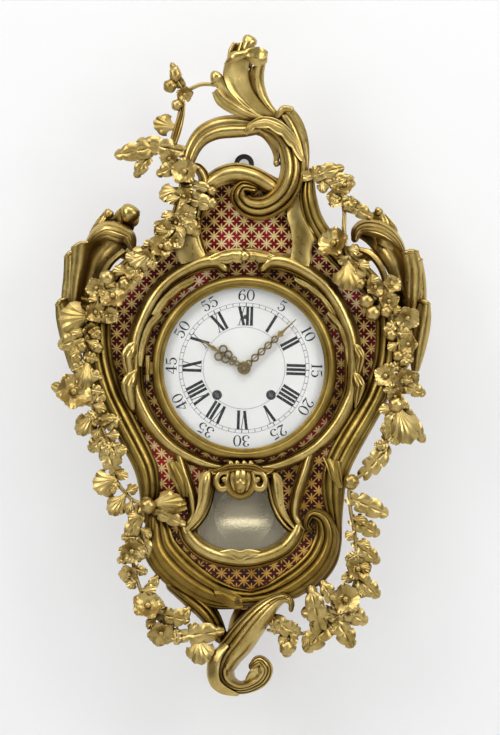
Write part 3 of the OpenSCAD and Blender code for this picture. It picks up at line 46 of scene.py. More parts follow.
# The ornament is set out on a sheet of 1 mm squares: u to the right, v down, the eye at (244, 161).
SHEET_U, SHEET_V = 244, 161
MM = 0.001
SEAT = 81.1            # face of the inlaid panel, out of the wall
TOP = 11               # crown of the mouldings that the garlands lie on, above the panel
DIAL_DROP = 207        # the dial's centre, below the eye
BEZEL_R = 93
SMOOTH_ANGLE = radians(38)   # sharper edges than this stay crisp
LEAF_STEPS = 6         # rows of a leaf between two marks
# From the bench, lying flat in millimetres, to the frame, upright in metres
STAND = Matrix(((MM, 0, 0, 0), (0, 0, -MM, 0), (0, MM, 0, 0), (0, 0, 0, 1)))


# Finishes. Each helper works from a socket or node, which knows the node tree it belongs to.
WHITE = (1.0, 1.0, 1.0)


def new_node(beside, kind):
    return beside.id_data.nodes.new("ShaderNode" + kind)


def give(node, name, value):
    """Feeds one input of a node, from another node or with a constant."""
    if isinstance(value, bpy.types.NodeSocket):
        node.id_data.links.new(value, node.inputs[name])
    else:
        node.inputs[name].default_value = value


def new_finish(name):
    finish = bpy.data.materials.new(name)
    finish.use_nodes = True
    shader = finish.node_tree.nodes["Principled BSDF"]
    return finish, shader, new_node(shader, "TexCoord").outputs["Object"]


def cloud(where, scale, detail=4.0, rough=0.55):
    node = new_node(where, "TexNoise")
    for name, value in (("Scale", scale), ("Detail", detail), ("Roughness", rough), ("Vector", where)):
        give(node, name, value)
    return node.outputs["Fac"]


def ramp(value, *stops):
    node = new_node(value, "ValToRGB")
    elements = node.color_ramp.elements
    while len(elements) < len(stops):
        elements.new(0.5)
    for element, (place, colour) in zip(elements, stops):
        element.position = place
        element.color = (*colour, 1) if isinstance(colour, tuple) else (colour, colour, colour, 1)
    give(node, "Fac", value)
    return node.outputs["Color"]


def blend(share, one, other, how="MIX"):
    values = (share, one, other)
    node = new_node(next(value for value in values if isinstance(value, bpy.types.NodeSocket)), "Mix")
    node.data_type = "RGBA"
    node.blend_type = how
    for place, value in zip((0, 6, 7), values):
        give(node, place, (*value, 1) if isinstance(value, tuple) else value)
    return node.outputs[2]


def sums(how, *values):
    node = new_node(values[0], "Math")
    node.operation = how
    for place, value in enumerate(values):
        give(node, place, value)
    return node.outputs[0]


def axes(where):
    node = new_node(where, "SeparateXYZ")
    give(node, "Vector", where)
    return node.outputs


def stretched(where, scale):
    node = new_node(where, "Mapping")
    give(node, "Scale", scale)
    give(node, "Vector", where)
    return node.outputs["Vector"]


def emboss(shader, height, strength, depth):
    node = new_node(shader, "Bump")
    for name, value in (("Strength", strength), ("Distance", depth), ("Height", height)):
        give(node, name, value)
    give(shader, "Normal", node.outputs["Normal"])


def hollows(where, reach):
    """Dark where neighbouring surfaces crowd in: patina in small hollows at a short reach, painted shade
    between parts at a long one.
    """
    node = new_node(where, "AmbientOcclusion")
    node.samples = 8
    give(node, "Distance", reach)
    return node.outputs["AO"]


def metal(name, dull, bright, recess, rough, grain=320.0, reach=0.006, shade=0.0, low_shade=None):
    """A metal with clouded colour, patina in its hollows, painted shade between mounts and, where asked,
    towards the bottom, and a fine chased grain.
    """
    finish, shader, where = new_finish(name)
    give(shader, "Metallic", 1.0)
    tone = ramp(cloud(where, 45.0, 5.0), (0.3, dull), (0.7, bright))
    tone = blend(ramp(hollows(where, reach), (0.04, 0.0), (0.56, 1.0)), recess, tone)
    # Painted shade: darker over a long reach where mounts crowd together and shadow falls between them.
    if shade:
        broad = ramp(hollows(where, shade), (0.22, (0.36, 0.27, 0.15)), (0.78, WHITE))
        tone = blend(1.0, tone, broad, "MULTIPLY")
    # Painted shade: darker and browner towards the bottom of the case, below 0.3 m, as the lower mounts face
    # away from the light.
    if low_shade:
        low = sums("MULTIPLY", axes(where)["Z"], -1.0)
        tone = blend(1.0, tone, ramp(low, (0.30, WHITE), (0.40, low_shade)), "MULTIPLY")
    give(shader, "Base Color", tone)
    give(shader, "Roughness", ramp(cloud(where, grain, 3.0), (0.3, rough - 0.07), (0.7, rough + 0.08)))
    emboss(shader, cloud(where, grain, 2.0), 0.05, 0.0004)
    return finish


GILT_SHADE = 0.045     # reach of the broad shadows between mounts
gilt_bronze = metal("gilt_bronze", (0.41, 0.285, 0.080), (0.66, 0.50, 0.185), (0.12, 0.068, 0.016), 0.33,
    shade=GILT_SHADE)
gilt_leafage = metal("gilt_leafage", (0.36, 0.245, 0.066), (0.67, 0.51, 0.200), (0.07, 0.038, 0.008), 0.38,
    reach=0.009, shade=GILT_SHADE)
# The mouldings take painted shade towards the bottom of the case.
gilt_moulding = metal("gilt_moulding", (0.23, 0.150, 0.032), (0.43, 0.305, 0.083), (0.10, 0.058, 0.014),
    0.38, shade=GILT_SHADE, low_shade=(0.70, 0.63, 0.50))
gilt_hands = metal("gilt_hands", (0.20, 0.135, 0.030), (0.52, 0.38, 0.10), (0.03, 0.018, 0.005), 0.30,
    700.0, reach=0.0025)
brass = metal("brushed_brass", (0.56, 0.42, 0.16), (0.70, 0.54, 0.24), (0.14, 0.09, 0.03), 0.32)
# The screw heads are darker than their brass alone: partly the screws' own dull brass, partly painted shade
# standing for the screw holes.
screw_and_hole_shade = metal("dull_screw_and_hole_shade", (0.085, 0.052, 0.018), (0.19, 0.125, 0.045), (0.03, 0.018, 0.008),
    0.40, reach=0.002)
bell_metal = metal("bell_metal", (0.46, 0.36, 0.19), (0.60, 0.48, 0.27), (0.12, 0.09, 0.05), 0.28)
steel = metal("dark_steel", (0.10, 0.10, 0.11), (0.24, 0.24, 0.26), (0.02, 0.02, 0.02), 0.30)
iron = metal("black_iron", (0.035, 0.032, 0.030), (0.085, 0.078, 0.072), (0.02, 0.016, 0.014), 0.52)


def brushed_bob():
    """Pale brass, polished along the bob's width so that a light stretches into a streak."""
    finish, shader, where = new_finish("bob_brass")
    give(shader, "Metallic", 0.95)
    give(shader, "Anisotropic", 0.9)
    lines = cloud(stretched(where, (0.10, 1.0, 1.0)), 240.0, 2.0)
    give(shader, "Base Color", ramp(lines, (0.2, (0.94, 0.82, 0.46)), (0.8, (1.0, 0.91, 0.60))))
    give(shader, "Roughness", ramp(lines, (0.2, 0.23), (0.8, 0.29)))
    return finish


def wood(name, dark, light, rough):
    """Oiled timber: long grain up the case, with pores."""
    finish, shader, where = new_finish(name)
    along = stretched(where, (1.0, 1.0, 0.07))
    grain = cloud(along, 160.0, 6.0, 0.6)
    pores = cloud(along, 900.0, 2.0)
    tone = ramp(grain, (0.3, dark), (0.72, light))
    give(shader, "Base Color", blend(ramp(pores, (0.36, 1.0), (0.44, 0.0)), tone, dark))
    give(shader, "Roughness", ramp(grain, (0.2, rough - 0.06), (0.8, rough + 0.1)))
    emboss(shader, pores, 0.2, 0.0003)
    return finish


STAR_PITCH, STAR_REACH, STAR_WAIST = 0.0150, 0.36, 0.11


def star_inlay():
    """Polished red shell with gold stars of eight rays on a staggered lattice."""
    finish, shader, where = new_finish("star_inlay")
    side = axes(where)

    def star(shift):
        """One inside a star, nought outside: its rim swings between waist and reach eight times."""
        x, z = (sums("ADD", sums("DIVIDE", side[axis], STAR_PITCH), shift) for axis in ("X", "Z"))
        x, z = (sums("SUBTRACT", sums("FRACT", step), 0.5) for step in (x, z))
        far = sums("SQRT", sums("ADD", sums("MULTIPLY", x, x), sums("MULTIPLY", z, z)))
        ray = sums("ABSOLUTE", sums("COSINE", sums("MULTIPLY", sums("ARCTAN2", z, x), 4.0)))
        rim = sums("MULTIPLY_ADD", sums("POWER", ray, 1.8), STAR_REACH - STAR_WAIST, STAR_WAIST)
        return sums("LESS_THAN", far, rim)

    gold = sums("MAXIMUM", star(0.0), star(0.5))
    front = sums("GREATER_THAN", sums("ABSOLUTE", axes(where.node.outputs["Normal"])["Y"]), 0.5)
    gold = sums("MULTIPLY", gold, front)
    # Large clouds of dark and bright over shell and stars: partly the shell's own mottle, partly painted
    # shade and painted reflection for the shadowed and lit zones of the polished panel.
    mottle_shade_and_sheen = cloud(where, 17.0, 3.0)
    height = sums("MULTIPLY_ADD", side["Z"], 2.6, 1.2)
    shell = ramp(mottle_shade_and_sheen, (0.36, (0.020, 0.002, 0.002)), (0.50, (0.085, 0.004, 0.005)),
        (0.64, (0.34, 0.022, 0.026)))
    shell = blend(1.0, shell, ramp(height, (0.20, (1.0, 0.5, 0.4)), (0.85, WHITE)), "MULTIPLY")
    leaf = ramp(mottle_shade_and_sheen, (0.36, (0.42, 0.25, 0.055)), (0.50, (0.78, 0.56, 0.20)), (0.64, (1.0, 0.86, 0.52)))
    leaf = blend(1.0, leaf, ramp(height, (0.20, (1.0, 0.80, 0.46)), (0.85, WHITE)), "MULTIPLY")
    give(shader, "Base Color", blend(gold, shell, leaf))
    give(shader, "Metallic", sums("MULTIPLY", gold, 0.3))
    give(shader, "Roughness", sums("MULTIPLY_ADD", cloud(where, 60.0), 0.16, 0.16))
    give(shader, "Specular IOR Level", 0.2)
    give(shader, "Coat Weight", 0.05)
    give(shader, "Coat Roughness", 0.12)
    emboss(shader, gold, 0.15, 0.0003)
    return finish


def enamel_white():
    finish, shader, where = new_finish("white_enamel")
    tone = ramp(cloud(where, 26.0, 3.0), (0.3, (0.80, 0.80, 0.77)), (0.7, (0.86, 0.86, 0.84)))
    give(shader, "Base Color", tone)
    give(shader, "Roughness", ramp(cloud(where, 90.0), (0.3, 0.16), (0.7, 0.24)))
    give(shader, "Coat Weight", 0.3)
    emboss(shader, cloud(where, 40.0), 0.015, 0.0004)
    return finish


def enamel_black():
    finish, shader, where = new_finish("black_enamel")
    tone = ramp(cloud(where, 300.0), (0.3, (0.005, 0.005, 0.007)), (0.7, (0.015, 0.015, 0.019)))
    give(shader, "Base Color", tone)
    give(shader, "Roughness", ramp(cloud(where, 240.0), (0.3, 0.25), (0.7, 0.4)))
    give(shader, "Specular IOR Level", 0.2)
    return finish


def clear_glass(name, tint, cover):
    finish, shader, where = new_finish(name)
    tone = ramp(cloud(where, 30.0), (0.3, tint), (0.7, tuple(1.06 * t for t in tint)))
    give(shader, "Base Color", tone)
    give(shader, "Roughness", ramp(cloud(where, 50.0), (0.3, 0.02), (0.7, 0.05)))
    give(shader, "Alpha", cover)
    finish.surface_render_method = "BLENDED"
    return finish


bob_brass = brushed_bob()
oak = wood("oiled_oak", (0.10, 0.055, 0.024), (0.25, 0.15, 0.07), 0.5)
inlay = star_inlay()
white_enamel = enamel_white()
black_enamel = enamel_black()
dial_glass = clear_glass("dial_glass", (0.85, 0.88, 0.88), 0.025)
# The window pane's warm, pale veil stands for the room reflected in the glass: painted reflection.
window_pane = clear_glass("window_pane", (0.82, 0.75, 0.56), 0.20)


# Shaping
def smooth_way(marks, steps):
    """Points on one smooth curve through the marks, each with its place, width and height."""
    last = len(marks) - 1
    way = []
    for i in range(last):
        near = (marks[max(i - 1, 0)], marks[i], marks[i + 1], marks[min(i + 2, last)])
        for k in range(steps):
            t = k / steps
            way.append([0.5 * (2 * b + (c - a) * t + (2 * a - 5 * b + 4 * c - d) * t * t
                               + (3 * b - a - 3 * c + d) * t ** 3) for a, b, c, d in zip(*near)])
    way.append(list(marks[-1]))
    return way


def on_sheet(marks):
    """Marks (u, v, level above the panel, ...) as places on the bench."""
    return [[u - SHEET_U, SHEET_V - v, SEAT + level, *rest] for u, v, level, *rest in marks]


def set_at(u, v, level):
    return Matrix.Translation((u - SHEET_U, SHEET_V - v, SEAT + level))


def turn_by(degrees, axis):
    return Matrix.Rotation(radians(degrees), 4, axis)


def mirrored(middle, side, marks):
    """Marks given from a middle line, set out to one side of it."""
    return [(middle + side * x, *rest) for x, *rest in marks]


def start(add, **how):
    """A fresh primitive to be shaped, with nothing else selected."""
    bpy.ops.object.select_all(action="DESELECT")
    add(**how)
    return bpy.context.object


def pick(*pieces):
    """Selects these pieces alone, the first one active."""
    bpy.ops.object.select_all(action="DESELECT")
    for piece in pieces:
        piece.select_set(True)
    bpy.context.view_layer.objects.active = pieces[0]


def sheet_grid(across, along):
    """A flat grid of quads, one unit square."""
    return start(bpy.ops.mesh.primitive_grid_add, x_subdivisions=across, y_subdivisions=along, size=1)


def shape(piece, place):
    """Moves each point of a grid to place(share across, share along)."""
    for point in piece.data.vertices:
        point.co = place(point.co.x + 0.5, point.co.y + 0.5)


def tidy(piece, merge=1e-4):
    """Closes seams and poles and turns all faces outwards."""
    pick(piece)
    bpy.ops.object.mode_set(mode="EDIT")
    bpy.ops.mesh.select_all(action="SELECT")
    bpy.ops.mesh.remove_doubles(threshold=merge)
    bpy.ops.mesh.normals_make_consistent(inside=False)
    bpy.ops.object.mode_set(mode="OBJECT")
    return piece


def thicken(piece, thickness, offset=-1.0):
    """Gives a shaped sheet its wall."""
    modifier = piece.modifiers.new("wall", "SOLIDIFY")
    modifier.thickness = thickness
    modifier.offset = offset
    modifier.use_even_offset = False
    pick(piece)
    bpy.ops.object.modifier_apply(modifier="wall")
    return piece


def join(pieces):
    pick(*pieces)
    if len(pieces) > 1:
        bpy.ops.object.join()
    return bpy.context.view_layer.objects.active


def copy_of(piece, matrix):
    """Another of the same shape, with its own mesh, set in place."""
    other = piece.copy()
    other.data = piece.data.copy()
    bpy.context.scene.collection.objects.link(other)
    other.data.transform(matrix)
    return other


def hand_over(piece, name, finish, body, nodes=()):
    """Stands a finished piece up in the frame, gives it its finish and body, and hides the CAD nodes that it
    stands in for.
    """
    piece.name = name
    piece.data.name = name
    piece.data.transform(STAND)
    pick(piece)
    bpy.ops.object.shade_smooth_by_angle(angle=SMOOTH_ANGLE)
    piece.data.materials.clear()
    piece.data.materials.append(finish)
    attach(piece, body)
    if nodes:
        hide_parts(*nodes)


# Sections of the castings: across from -0.5 to 0.5, up from 0 to 1, closed along a flat back.
OGEE = [(-.5, 0), (-.5, .52), (-.475, .66), (-.43, .72), (-.385, .67), (-.36, .57), (-.33, .60),
    (-.24, .81), (-.12, .96), (0, 1), (.12, .96), (.24, .85), (.34, .68), (.40, .54), (.43, .50),
    (.47, .45), (.5, .34), (.5, 0), (.2, -.02), (-.2, -.02)]
FLUTED = [(-.5, 0), (-.5, .42), (-.465, .60), (-.40, .68), (-.345, .62), (-.32, .55), (-.28, .68),
    (-.20, .85), (-.12, .90), (-.06, .84), (-.035, .76), (0, .87), (.08, .98), (.17, 1), (.25, .92),
    (.285, .82), (.31, .76), (.35, .79), (.42, .70), (.47, .52), (.5, .36), (.5, 0), (.2, -.02),
    (-.2, -.02)]
REEDED = [(-.5, 0), (-.5, .40), (-.47, .56), (-.42, .62), (-.37, .57), (-.345, .50), (-.31, .60),
    (-.24, .74), (-.17, .77), (-.12, .72), (-.10, .66), (-.07, .76), (0, .93), (.08, 1), (.16, .98),
    (.22, .90), (.245, .82), (.28, .86), (.34, .84), (.38, .74), (.40, .66), (.43, .66), (.47, .56),
    (.5, .38), (.5, 0), (.2, -.02), (-.2, -.02)]
ARCHED = [(-.5, 0), (-.5, .50), (-.46, .70), (-.36, .90), (-.22, 1), (-.10, .97), (-.01, .84), (.02, .72),
    (.05, .74), (.16, .76), (.28, .70), (.36, .60), (.39, .54), (.43, .55), (.48, .46), (.5, .32), (.5, 0),
    (.2, -.02), (-.2, -.02)]
RIBBED = [(-.5, .3), (-.46, .55), (-.36, .72), (-.28, .80), (-.23, .76), (-.16, .88), (-.06, .96), (0, .92),
    (.06, 1), (.16, .97), (.23, .86), (.28, .88), (.38, .76), (.46, .56), (.5, .3), (.3, .06), (0, 0),
    (-.3, .06)]
ROUND = [(-.5, .5), (-.43, .75), (-.25, .93), (0, 1), (.25, .93), (.43, .75), (.5, .5), (.43, .25),
    (.25, .07), (0, 0), (-.25, .07), (-.43, .25)]
SCROLL = [(-.5, 0), (-.5, .36), (-.475, .50), (-.43, .57), (-.385, .55), (-.365, .51), (-.34, .58),
    (-.29, .68), (-.235, .71), (-.205, .68), (-.19, .65), (-.165, .74), (-.11, .84), (-.05, .86),
    (-.02, .84), (0, .82), (.03, .91), (.10, .99), (.18, 1), (.27, .93), (.35, .79), (.42, .60), (.47, .40),
    (.5, .2), (.5, 0), (.2, -.02), (-.2, -.02)]
LOBE = [(-.5, 0), (-.5, .3), (-.44, .58), (-.32, .74), (-.21, .70), (-.16, .62), (-.1, .8), (0, 1),
    (.1, .8), (.16, .62), (.21, .70), (.32, .74), (.44, .58), (.5, .3), (.5, 0), (.2, -.02), (-.2, -.02)]


def flip(section):
    return [(-across, up) for across, up in reversed(section)]


def frames_along(way):
    """For each point: its place, the direction to its right, and the direction out of the sheet."""
    found = []
    last = len(way) - 1
    for i, mark in enumerate(way):
        ahead = Vector(way[min(i + 1, last)][:3]) - Vector(way[max(i - 1, 0)][:3])
        ahead.normalize()
        right = ahead.cross(Vector((0, 0, 1))).normalized()
        found.append((Vector(mark[:3]), ahead, right, right.cross(ahead)))
    return found


def cast(marks, section, steps=6, ends=(1.0, 1.0), set_out=True):
    """A casting drawn along a curve through the marks (u, v, level, width, height), with rounded ends."""
    way = smooth_way(on_sheet(marks) if set_out else marks, steps)
    rings = []
    for (place, ahead, right, out), mark in zip(frames_along(way), way):
        rings.append((place, right, out, mark[3], mark[4]))
    for end, back in ((0, -1), (-1, 1)):
        length = ends[end]
        place, ahead, right, out = frames_along(way)[end]
        width, height = way[end][3], way[end][4]
        tip = []
        for turn in (25, 48, 68, 82, 90):
            reach, keep = sin(radians(turn)), cos(radians(turn))
            shift = ahead * back * reach * width * 0.5 * length
            sink = out * height * 0.25 * (1 - keep)
            tip.append((place + shift + sink, right, out, width * keep,
                height * (0.3 + 0.7 * keep) * (keep > 0.01)))
        rings = (tip[::-1] + rings) if end == 0 else (rings + tip)
    count, rows = len(section), len(rings) - 1
    piece = sheet_grid(count, rows)

    def place_on(across, along):
        place, right, out, width, height = rings[round(along * rows)]
        side, up = section[round(across * count) % count]
        return place + right * side * width + out * up * height

    shape(piece, place_on)
    return tidy(piece)


def leaf_between(one, other, cup=0.15, ribs=0.0, rib=0.04, wall=2.4, columns=16, teeth=0, bite=0.0):
    """A cast leaf between two edges of marks (u, v, level): domed or hollow, ribbed along."""
    edges = [smooth_way(on_sheet(marks), LEAF_STEPS) for marks in (one, other)]
    rows = len(edges[0]) - 1
    piece = sheet_grid(columns, rows)

    def place_on(across, along):
        k = round(along * rows)
        near, far = Vector(edges[0][k]), Vector(edges[1][k])
        span = (far - near).length
        notch = bite * span * (1 - abs(sin(pi * teeth * along)) ** 0.5) if teeth else 0.0
        spot = near.lerp(far, across)
        spot += (near - far).normalized() * notch * across
        side = 2 * across - 1
        ridge = rib * span * cos(2 * pi * ribs * across) * (ribs > 0)
        spot.z += cup * span * (1 - side * side) + ridge
        return spot

    shape(piece, place_on)
    return thicken(piece, wall)


def mount(parts, name, node, finish=gilt_bronze):
    """Joins the castings of one mount and fixes it to the case."""
    hand_over(join(parts), name, finish, "case", [node])


# Stage, light and camera
STAGE_SIZE = 6
WALL_AT, FLOOR_AT = (0, 0.0015, 0.2), (0, -2.95, -1.35)
PAINT = (0.80, 0.80, 0.80, 1)
GLOW, GLOW_SHARE = 1.05, 0.45
CASE_MIDDLE = (0, -0.05, -0.2)
LAMPS = [
    ("softbox_left", (-1.5, -1.5, 0.75), (0.8, 1.2), 19),
    ("softbox_right", (1.45, -1.35, 0.5), (0.7, 1.1), 15),
    ("overhead", (0.1, -0.9, 1.5), (1.6, 0.7), 16),
    ("low_strip", (0.0, -2.2, -0.66), (3.2, 0.22), 6.5)]
CAMERA_AT, CAMERA_FAR = (0.006, -6.09, -0.2065), 6.0
PICTURE_HIGH = 0.735   # metres seen from top to bottom
FILM = 36


def mix_shaders(share, one, other):
    node = new_node(share, "MixShader")
    for place, value in enumerate((share, one, other)):
        give(node, place, value)
    return node.outputs[0]


def stage():
    """A pale wall that is clear from behind, and a floor in front of it."""
    upright = (pi / 2, 0, 0)
    wall = start(bpy.ops.mesh.primitive_plane_add, size=STAGE_SIZE, location=WALL_AT, rotation=upright)
    wall.name = "wall"
    floor = start(bpy.ops.mesh.primitive_plane_add, size=STAGE_SIZE, location=FLOOR_AT)
    floor.name = "floor"
    for piece, one_sided in ((wall, True), (floor, False)):
        finish = bpy.data.materials.new(piece.name + "_paint")
        finish.use_nodes = True
        nodes = finish.node_tree.nodes
        nodes.remove(nodes["Principled BSDF"])
        out = nodes["Material Output"]
        paint, glow = new_node(out, "BsdfDiffuse"), new_node(out, "Emission")
        give(paint, "Color", PAINT)
        give(glow, "Color", (*WHITE, 1))
        give(glow, "Strength", GLOW)
        rays = new_node(out, "LightPath").outputs
        seen = rays["Is Camera Ray"]
        if one_sided:
            seen = sums("MAXIMUM", seen,
                sums("MAXIMUM", rays["Is Glossy Ray"], rays["Is Transmission Ray"]))
        surface = mix_shaders(sums("MULTIPLY", seen, GLOW_SHARE), paint.outputs[0], glow.outputs[0])
        if one_sided:
            behind = new_node(out, "NewGeometry").outputs["Backfacing"]
            surface = mix_shaders(behind, surface, new_node(out, "BsdfTransparent").outputs[0])
        give(out, "Surface", surface)
        piece.data.materials.append(finish)


def studio():
    world = bpy.data.worlds.new("studio")
    bpy.context.scene.world = world
    world.use_nodes = True
    sky = world.node_tree.nodes["Background"]
    height = sums("MULTIPLY_ADD", axes(new_node(sky, "TexCoord").outputs["Generated"])["Z"], 0.5, 0.5)
    give(sky, "Color", ramp(height, (0.2, 0.10), (0.5, 0.16), (0.72, 0.55), (0.95, 0.9)))
    give(sky, "Strength", 0.5)
    for name, place, size, power in LAMPS:
        bpy.ops.object.light_add(type="AREA", location=place)
        light = bpy.context.object
        light.name = name
        light.data.shape = "RECTANGLE"
        light.data.size, light.data.size_y = size
        light.data.energy = power
        light.rotation_euler = (Vector(CASE_MIDDLE) - Vector(place)).to_track_quat("-Z", "Y").to_euler()


def photo_camera():
    bpy.ops.object.camera_add(location=CAMERA_AT, rotation=(pi / 2, 0, 0))
    camera = bpy.context.object
    camera.name = "photo_camera"
    camera.data.sensor_fit = "AUTO"
    camera.data.sensor_width = FILM
    camera.data.lens = FILM * CAMERA_FAR / PICTURE_HIGH
    camera.data.clip_end = 50
    bpy.context.scene.camera = camera


stage()
studio()
photo_camera()
bpy.context.scene.view_settings.view_transform = "Standard"


# Mouldings
def beyond(angle, gap, side=1):
    """A place outside the bezel: degrees from twelve o'clock, distance beyond its rim."""
    turn = radians(angle)
    return side * (BEZEL_R + gap) * sin(turn), (BEZEL_R + gap) * cos(turn) - DIAL_DROP


def ball(u, v, level, r, stretch=1.0):
    """A rounded knob, a little flattened towards the wall."""
    knob = start(bpy.ops.mesh.primitive_uv_sphere_add, segments=14, ring_count=8, radius=r)
    for point in knob.data.vertices:
        waist = 1 + 0.10 * cos(3 * atan2(point.co.y, point.co.x))
        point.co = Vector((point.co.x * waist, point.co.y * waist * stretch, point.co.z * 0.85))
    knob.data.transform(set_at(u, v, level))
    return knob


SCREW_R = 3.2


def screw_head(u, v, level):
    """A domed screw head with its slot."""
    head = start(bpy.ops.mesh.primitive_uv_sphere_add, segments=18, ring_count=10, radius=SCREW_R)
    for point in head.data.vertices:
        slot_depth = 0.9 * (abs(point.co.y - 0.4 * point.co.x) < 0.5) * (point.co.z > 0)
        point.co.z = 0.5 * point.co.z - slot_depth
    head.data.transform(set_at(u, v, level))
    return head


left_frame = cast([(183, 200, 0, 15, 9), (178, 220, 0, 18, 11), (169, 238, 0, 20, 12),
    (151, 252, 0, 21, 12), (131, 268, 0, 22, 13), (113, 286, 0, 23, 13), (101, 309, 0, 24, 14),
    (98, 335, 0, 25, 14), (101, 365, 0, 26, 14), (109, 392, 0, 26, 14), (121, 418, 0, 26, 14),
    (134, 443, 0, 25, 13), (145, 466, 0, 24, 12), (149, 485, 0, 22, 11), (149, 503, -1, 18, 9),
    (149, 519, -3, 13, 8)], FLUTED)
mount([left_frame], "left_frame_moulding", "left_frame", gilt_moulding)
right_frame = cast([(308, 182, 0, 14, 9), (308, 198, 0, 18, 11), (313, 218, 0, 19, 12),
    (324, 237, 0, 20, 12), (340, 256, 0, 21, 13), (360, 273, 0, 22, 13), (377, 293, 0, 23, 14),
    (387, 318, 0, 24, 14), (388, 345, 0, 25, 14), (384, 372, 0, 26, 14), (375, 397, 0, 26, 14),
    (363, 419, 0, 26, 13), (350, 441, 0, 27, 12), (339, 463, 0, 27, 11), (334, 483, 0, 25, 10),
    (334, 503, -1, 20, 9), (336, 522, -3, 13, 9), (337, 542, -5, 10, 8), (332, 561, -6, 12, 8),
    (321, 577, -6, 12, 8), (308, 588, -6, 8, 7)], flip(FLUTED))
mount([right_frame], "right_frame_moulding", "right_frame", gilt_moulding)

RING = [(11.5, 10, 13, 11), (14.0, 16.5, 17, 13), (20.2, 20, 18, 13), (28.4, 21, 17, 13), (40, 22, 17, 13),
    (51.4, 21, 18, 14), (64.6, 19, 18, 14), (78, 18, 18, 14), (98.9, 17.5, 18, 14), (110, 16.5, 18, 13),
    (122.7, 15, 17, 12), (137, 13.6, 15, 12), (151.4, 11, 13, 11), (166, 9.5, 11, 10), (183, 8.5, 10, 10)]
BAND = [(140.5, 13, 11, 9), (149, 26, 13, 11), (156, 41, 13, 11), (159.6, 53.5, 12, 11),
    (161, 63.5, 11, 10), (160.5, 72, 10, 9), (159.6, 79, 5, 6)]
CARTOUCHE = [(-20.1, 17.7, 8, 9), (-10.1, 20.8, 10, 8), (0.5, 22, 11, 9), (11.1, 21.1, 10, 8),
    (20.9, 19.4, 8, 9)]


def ring_marks(rows, side):
    return [(*beyond(angle, gap, side), SEAT, width, height) for angle, gap, width, height in rows]


RIM_LEAF = dict(cup=0.15, ribs=1.5, rib=0.06, teeth=3, bite=0.25)
CLASP_LEAF = dict(cup=0.3, ribs=1.5, rib=0.10, teeth=2, bite=0.15)
HEAD_LEAF = dict(cup=0.2, ribs=2, rib=0.06, teeth=3, bite=0.2)
SURROUND_LEAVES = [
    (
        [(50, 277, 7), (60, 281, 9), (72, 289, 10), (84, 301, 10), (92, 314, 9)],
        [(52, 284, 6), (60, 289, 7), (68, 294, 8), (78, 304, 8), (88, 316, 8)],
        RIM_LEAF),
    (
        [(84, 311, 8), (94, 320, 10), (101, 334, 10), (105, 352, 10), (105, 366, 8)],
        [(83, 317, 7), (90, 325, 8), (96, 337, 8), (100, 353, 8), (102, 366, 7)],
        RIM_LEAF),
    (
        [(110, 343, 12), (116, 346, 14), (121, 355, 14), (119, 366, 13), (114, 378, 10)],
        [(109, 345, 12), (109, 352, 15), (111, 360, 16), (111, 368, 14), (113, 379, 10)],
        CLASP_LEAF),
    (
        [(109, 371, 12), (116, 375, 14), (121, 384, 14), (118, 396, 13), (112, 408, 10)],
        [(108, 373, 12), (108, 380, 15), (109, 389, 16), (110, 398, 14), (111, 409, 10)],
        CLASP_LEAF),
    (
        [(2, 249, 9), (12, 250, 11), (24, 253, 11), (37, 259, 8)],
        [(2, 262, 9), (11, 262, 11), (22, 263, 11), (35, 264, 8)],
        HEAD_LEAF)]
parts = []
for side in (-1, 1):
    for rows in (RING, BAND):
        parts.append(cast(ring_marks(rows, side), OGEE if side < 0 else flip(OGEE), set_out=False))
parts.append(cast(ring_marks(CARTOUCHE, 1), LOBE, set_out=False))
for side in (-1, 1):
    for *edges, how in SURROUND_LEAVES:
        parts.append(leaf_between(*(mirrored(SHEET_U, side, edge) for edge in edges), **how))
parts.append(ball(245, 256, 12, 5.5))
mount(parts, "dial_surround_scrolls", "dial_surround")

WINDOW_U = 241         # the window's middle
parts = [
    cast([(184, 526, 0, 13, 8), (189, 537, 0, 17, 11), (201, 549, 0, 18, 12), (219, 557, 0, 18, 13),
        (242, 560.5, 0, 18, 13), (265, 557, 0, 18, 13), (283, 549, 0, 18, 12), (294, 537, 0, 17, 11),
        (299, 526, 0, 13, 8)], flip(OGEE)),
    cast([(217, 481, 0, 12, 9), (230, 478, 0, 16, 11), (243, 477, 0, 18, 12), (256, 478, 0, 16, 11),
        (269, 480, 0, 12, 9)], LOBE)]
WINDOW_RAIL = [(26.5, 478, 0, 6, 9), (28.5, 490, 0, 6, 10), (32, 504, 0, 6.5, 11), (38, 517, 0, 7, 11),
    (47, 528, 0, 6, 10), (53, 531, 0, 4, 7)]
WINDOW_LEAF = [
    [(32, 472, 9), (40, 477, 11), (42, 490, 11), (43, 504, 11), (48, 518, 10), (55, 529, 8)],
    [(31, 473, 9), (30, 479, 11), (31, 490, 11), (34.5, 504, 11), (41, 517, 10), (54, 530, 8)]]
for side in (-1, 1):
    parts.append(cast(mirrored(WINDOW_U, side, WINDOW_RAIL), OGEE if side < 0 else flip(OGEE)))
    edges = [mirrored(WINDOW_U, side, edge) for edge in WINDOW_LEAF]
    parts.append(leaf_between(*edges, cup=0.12, ribs=1.5, rib=0.09))
SHELL = 13             # level of the shell over the window
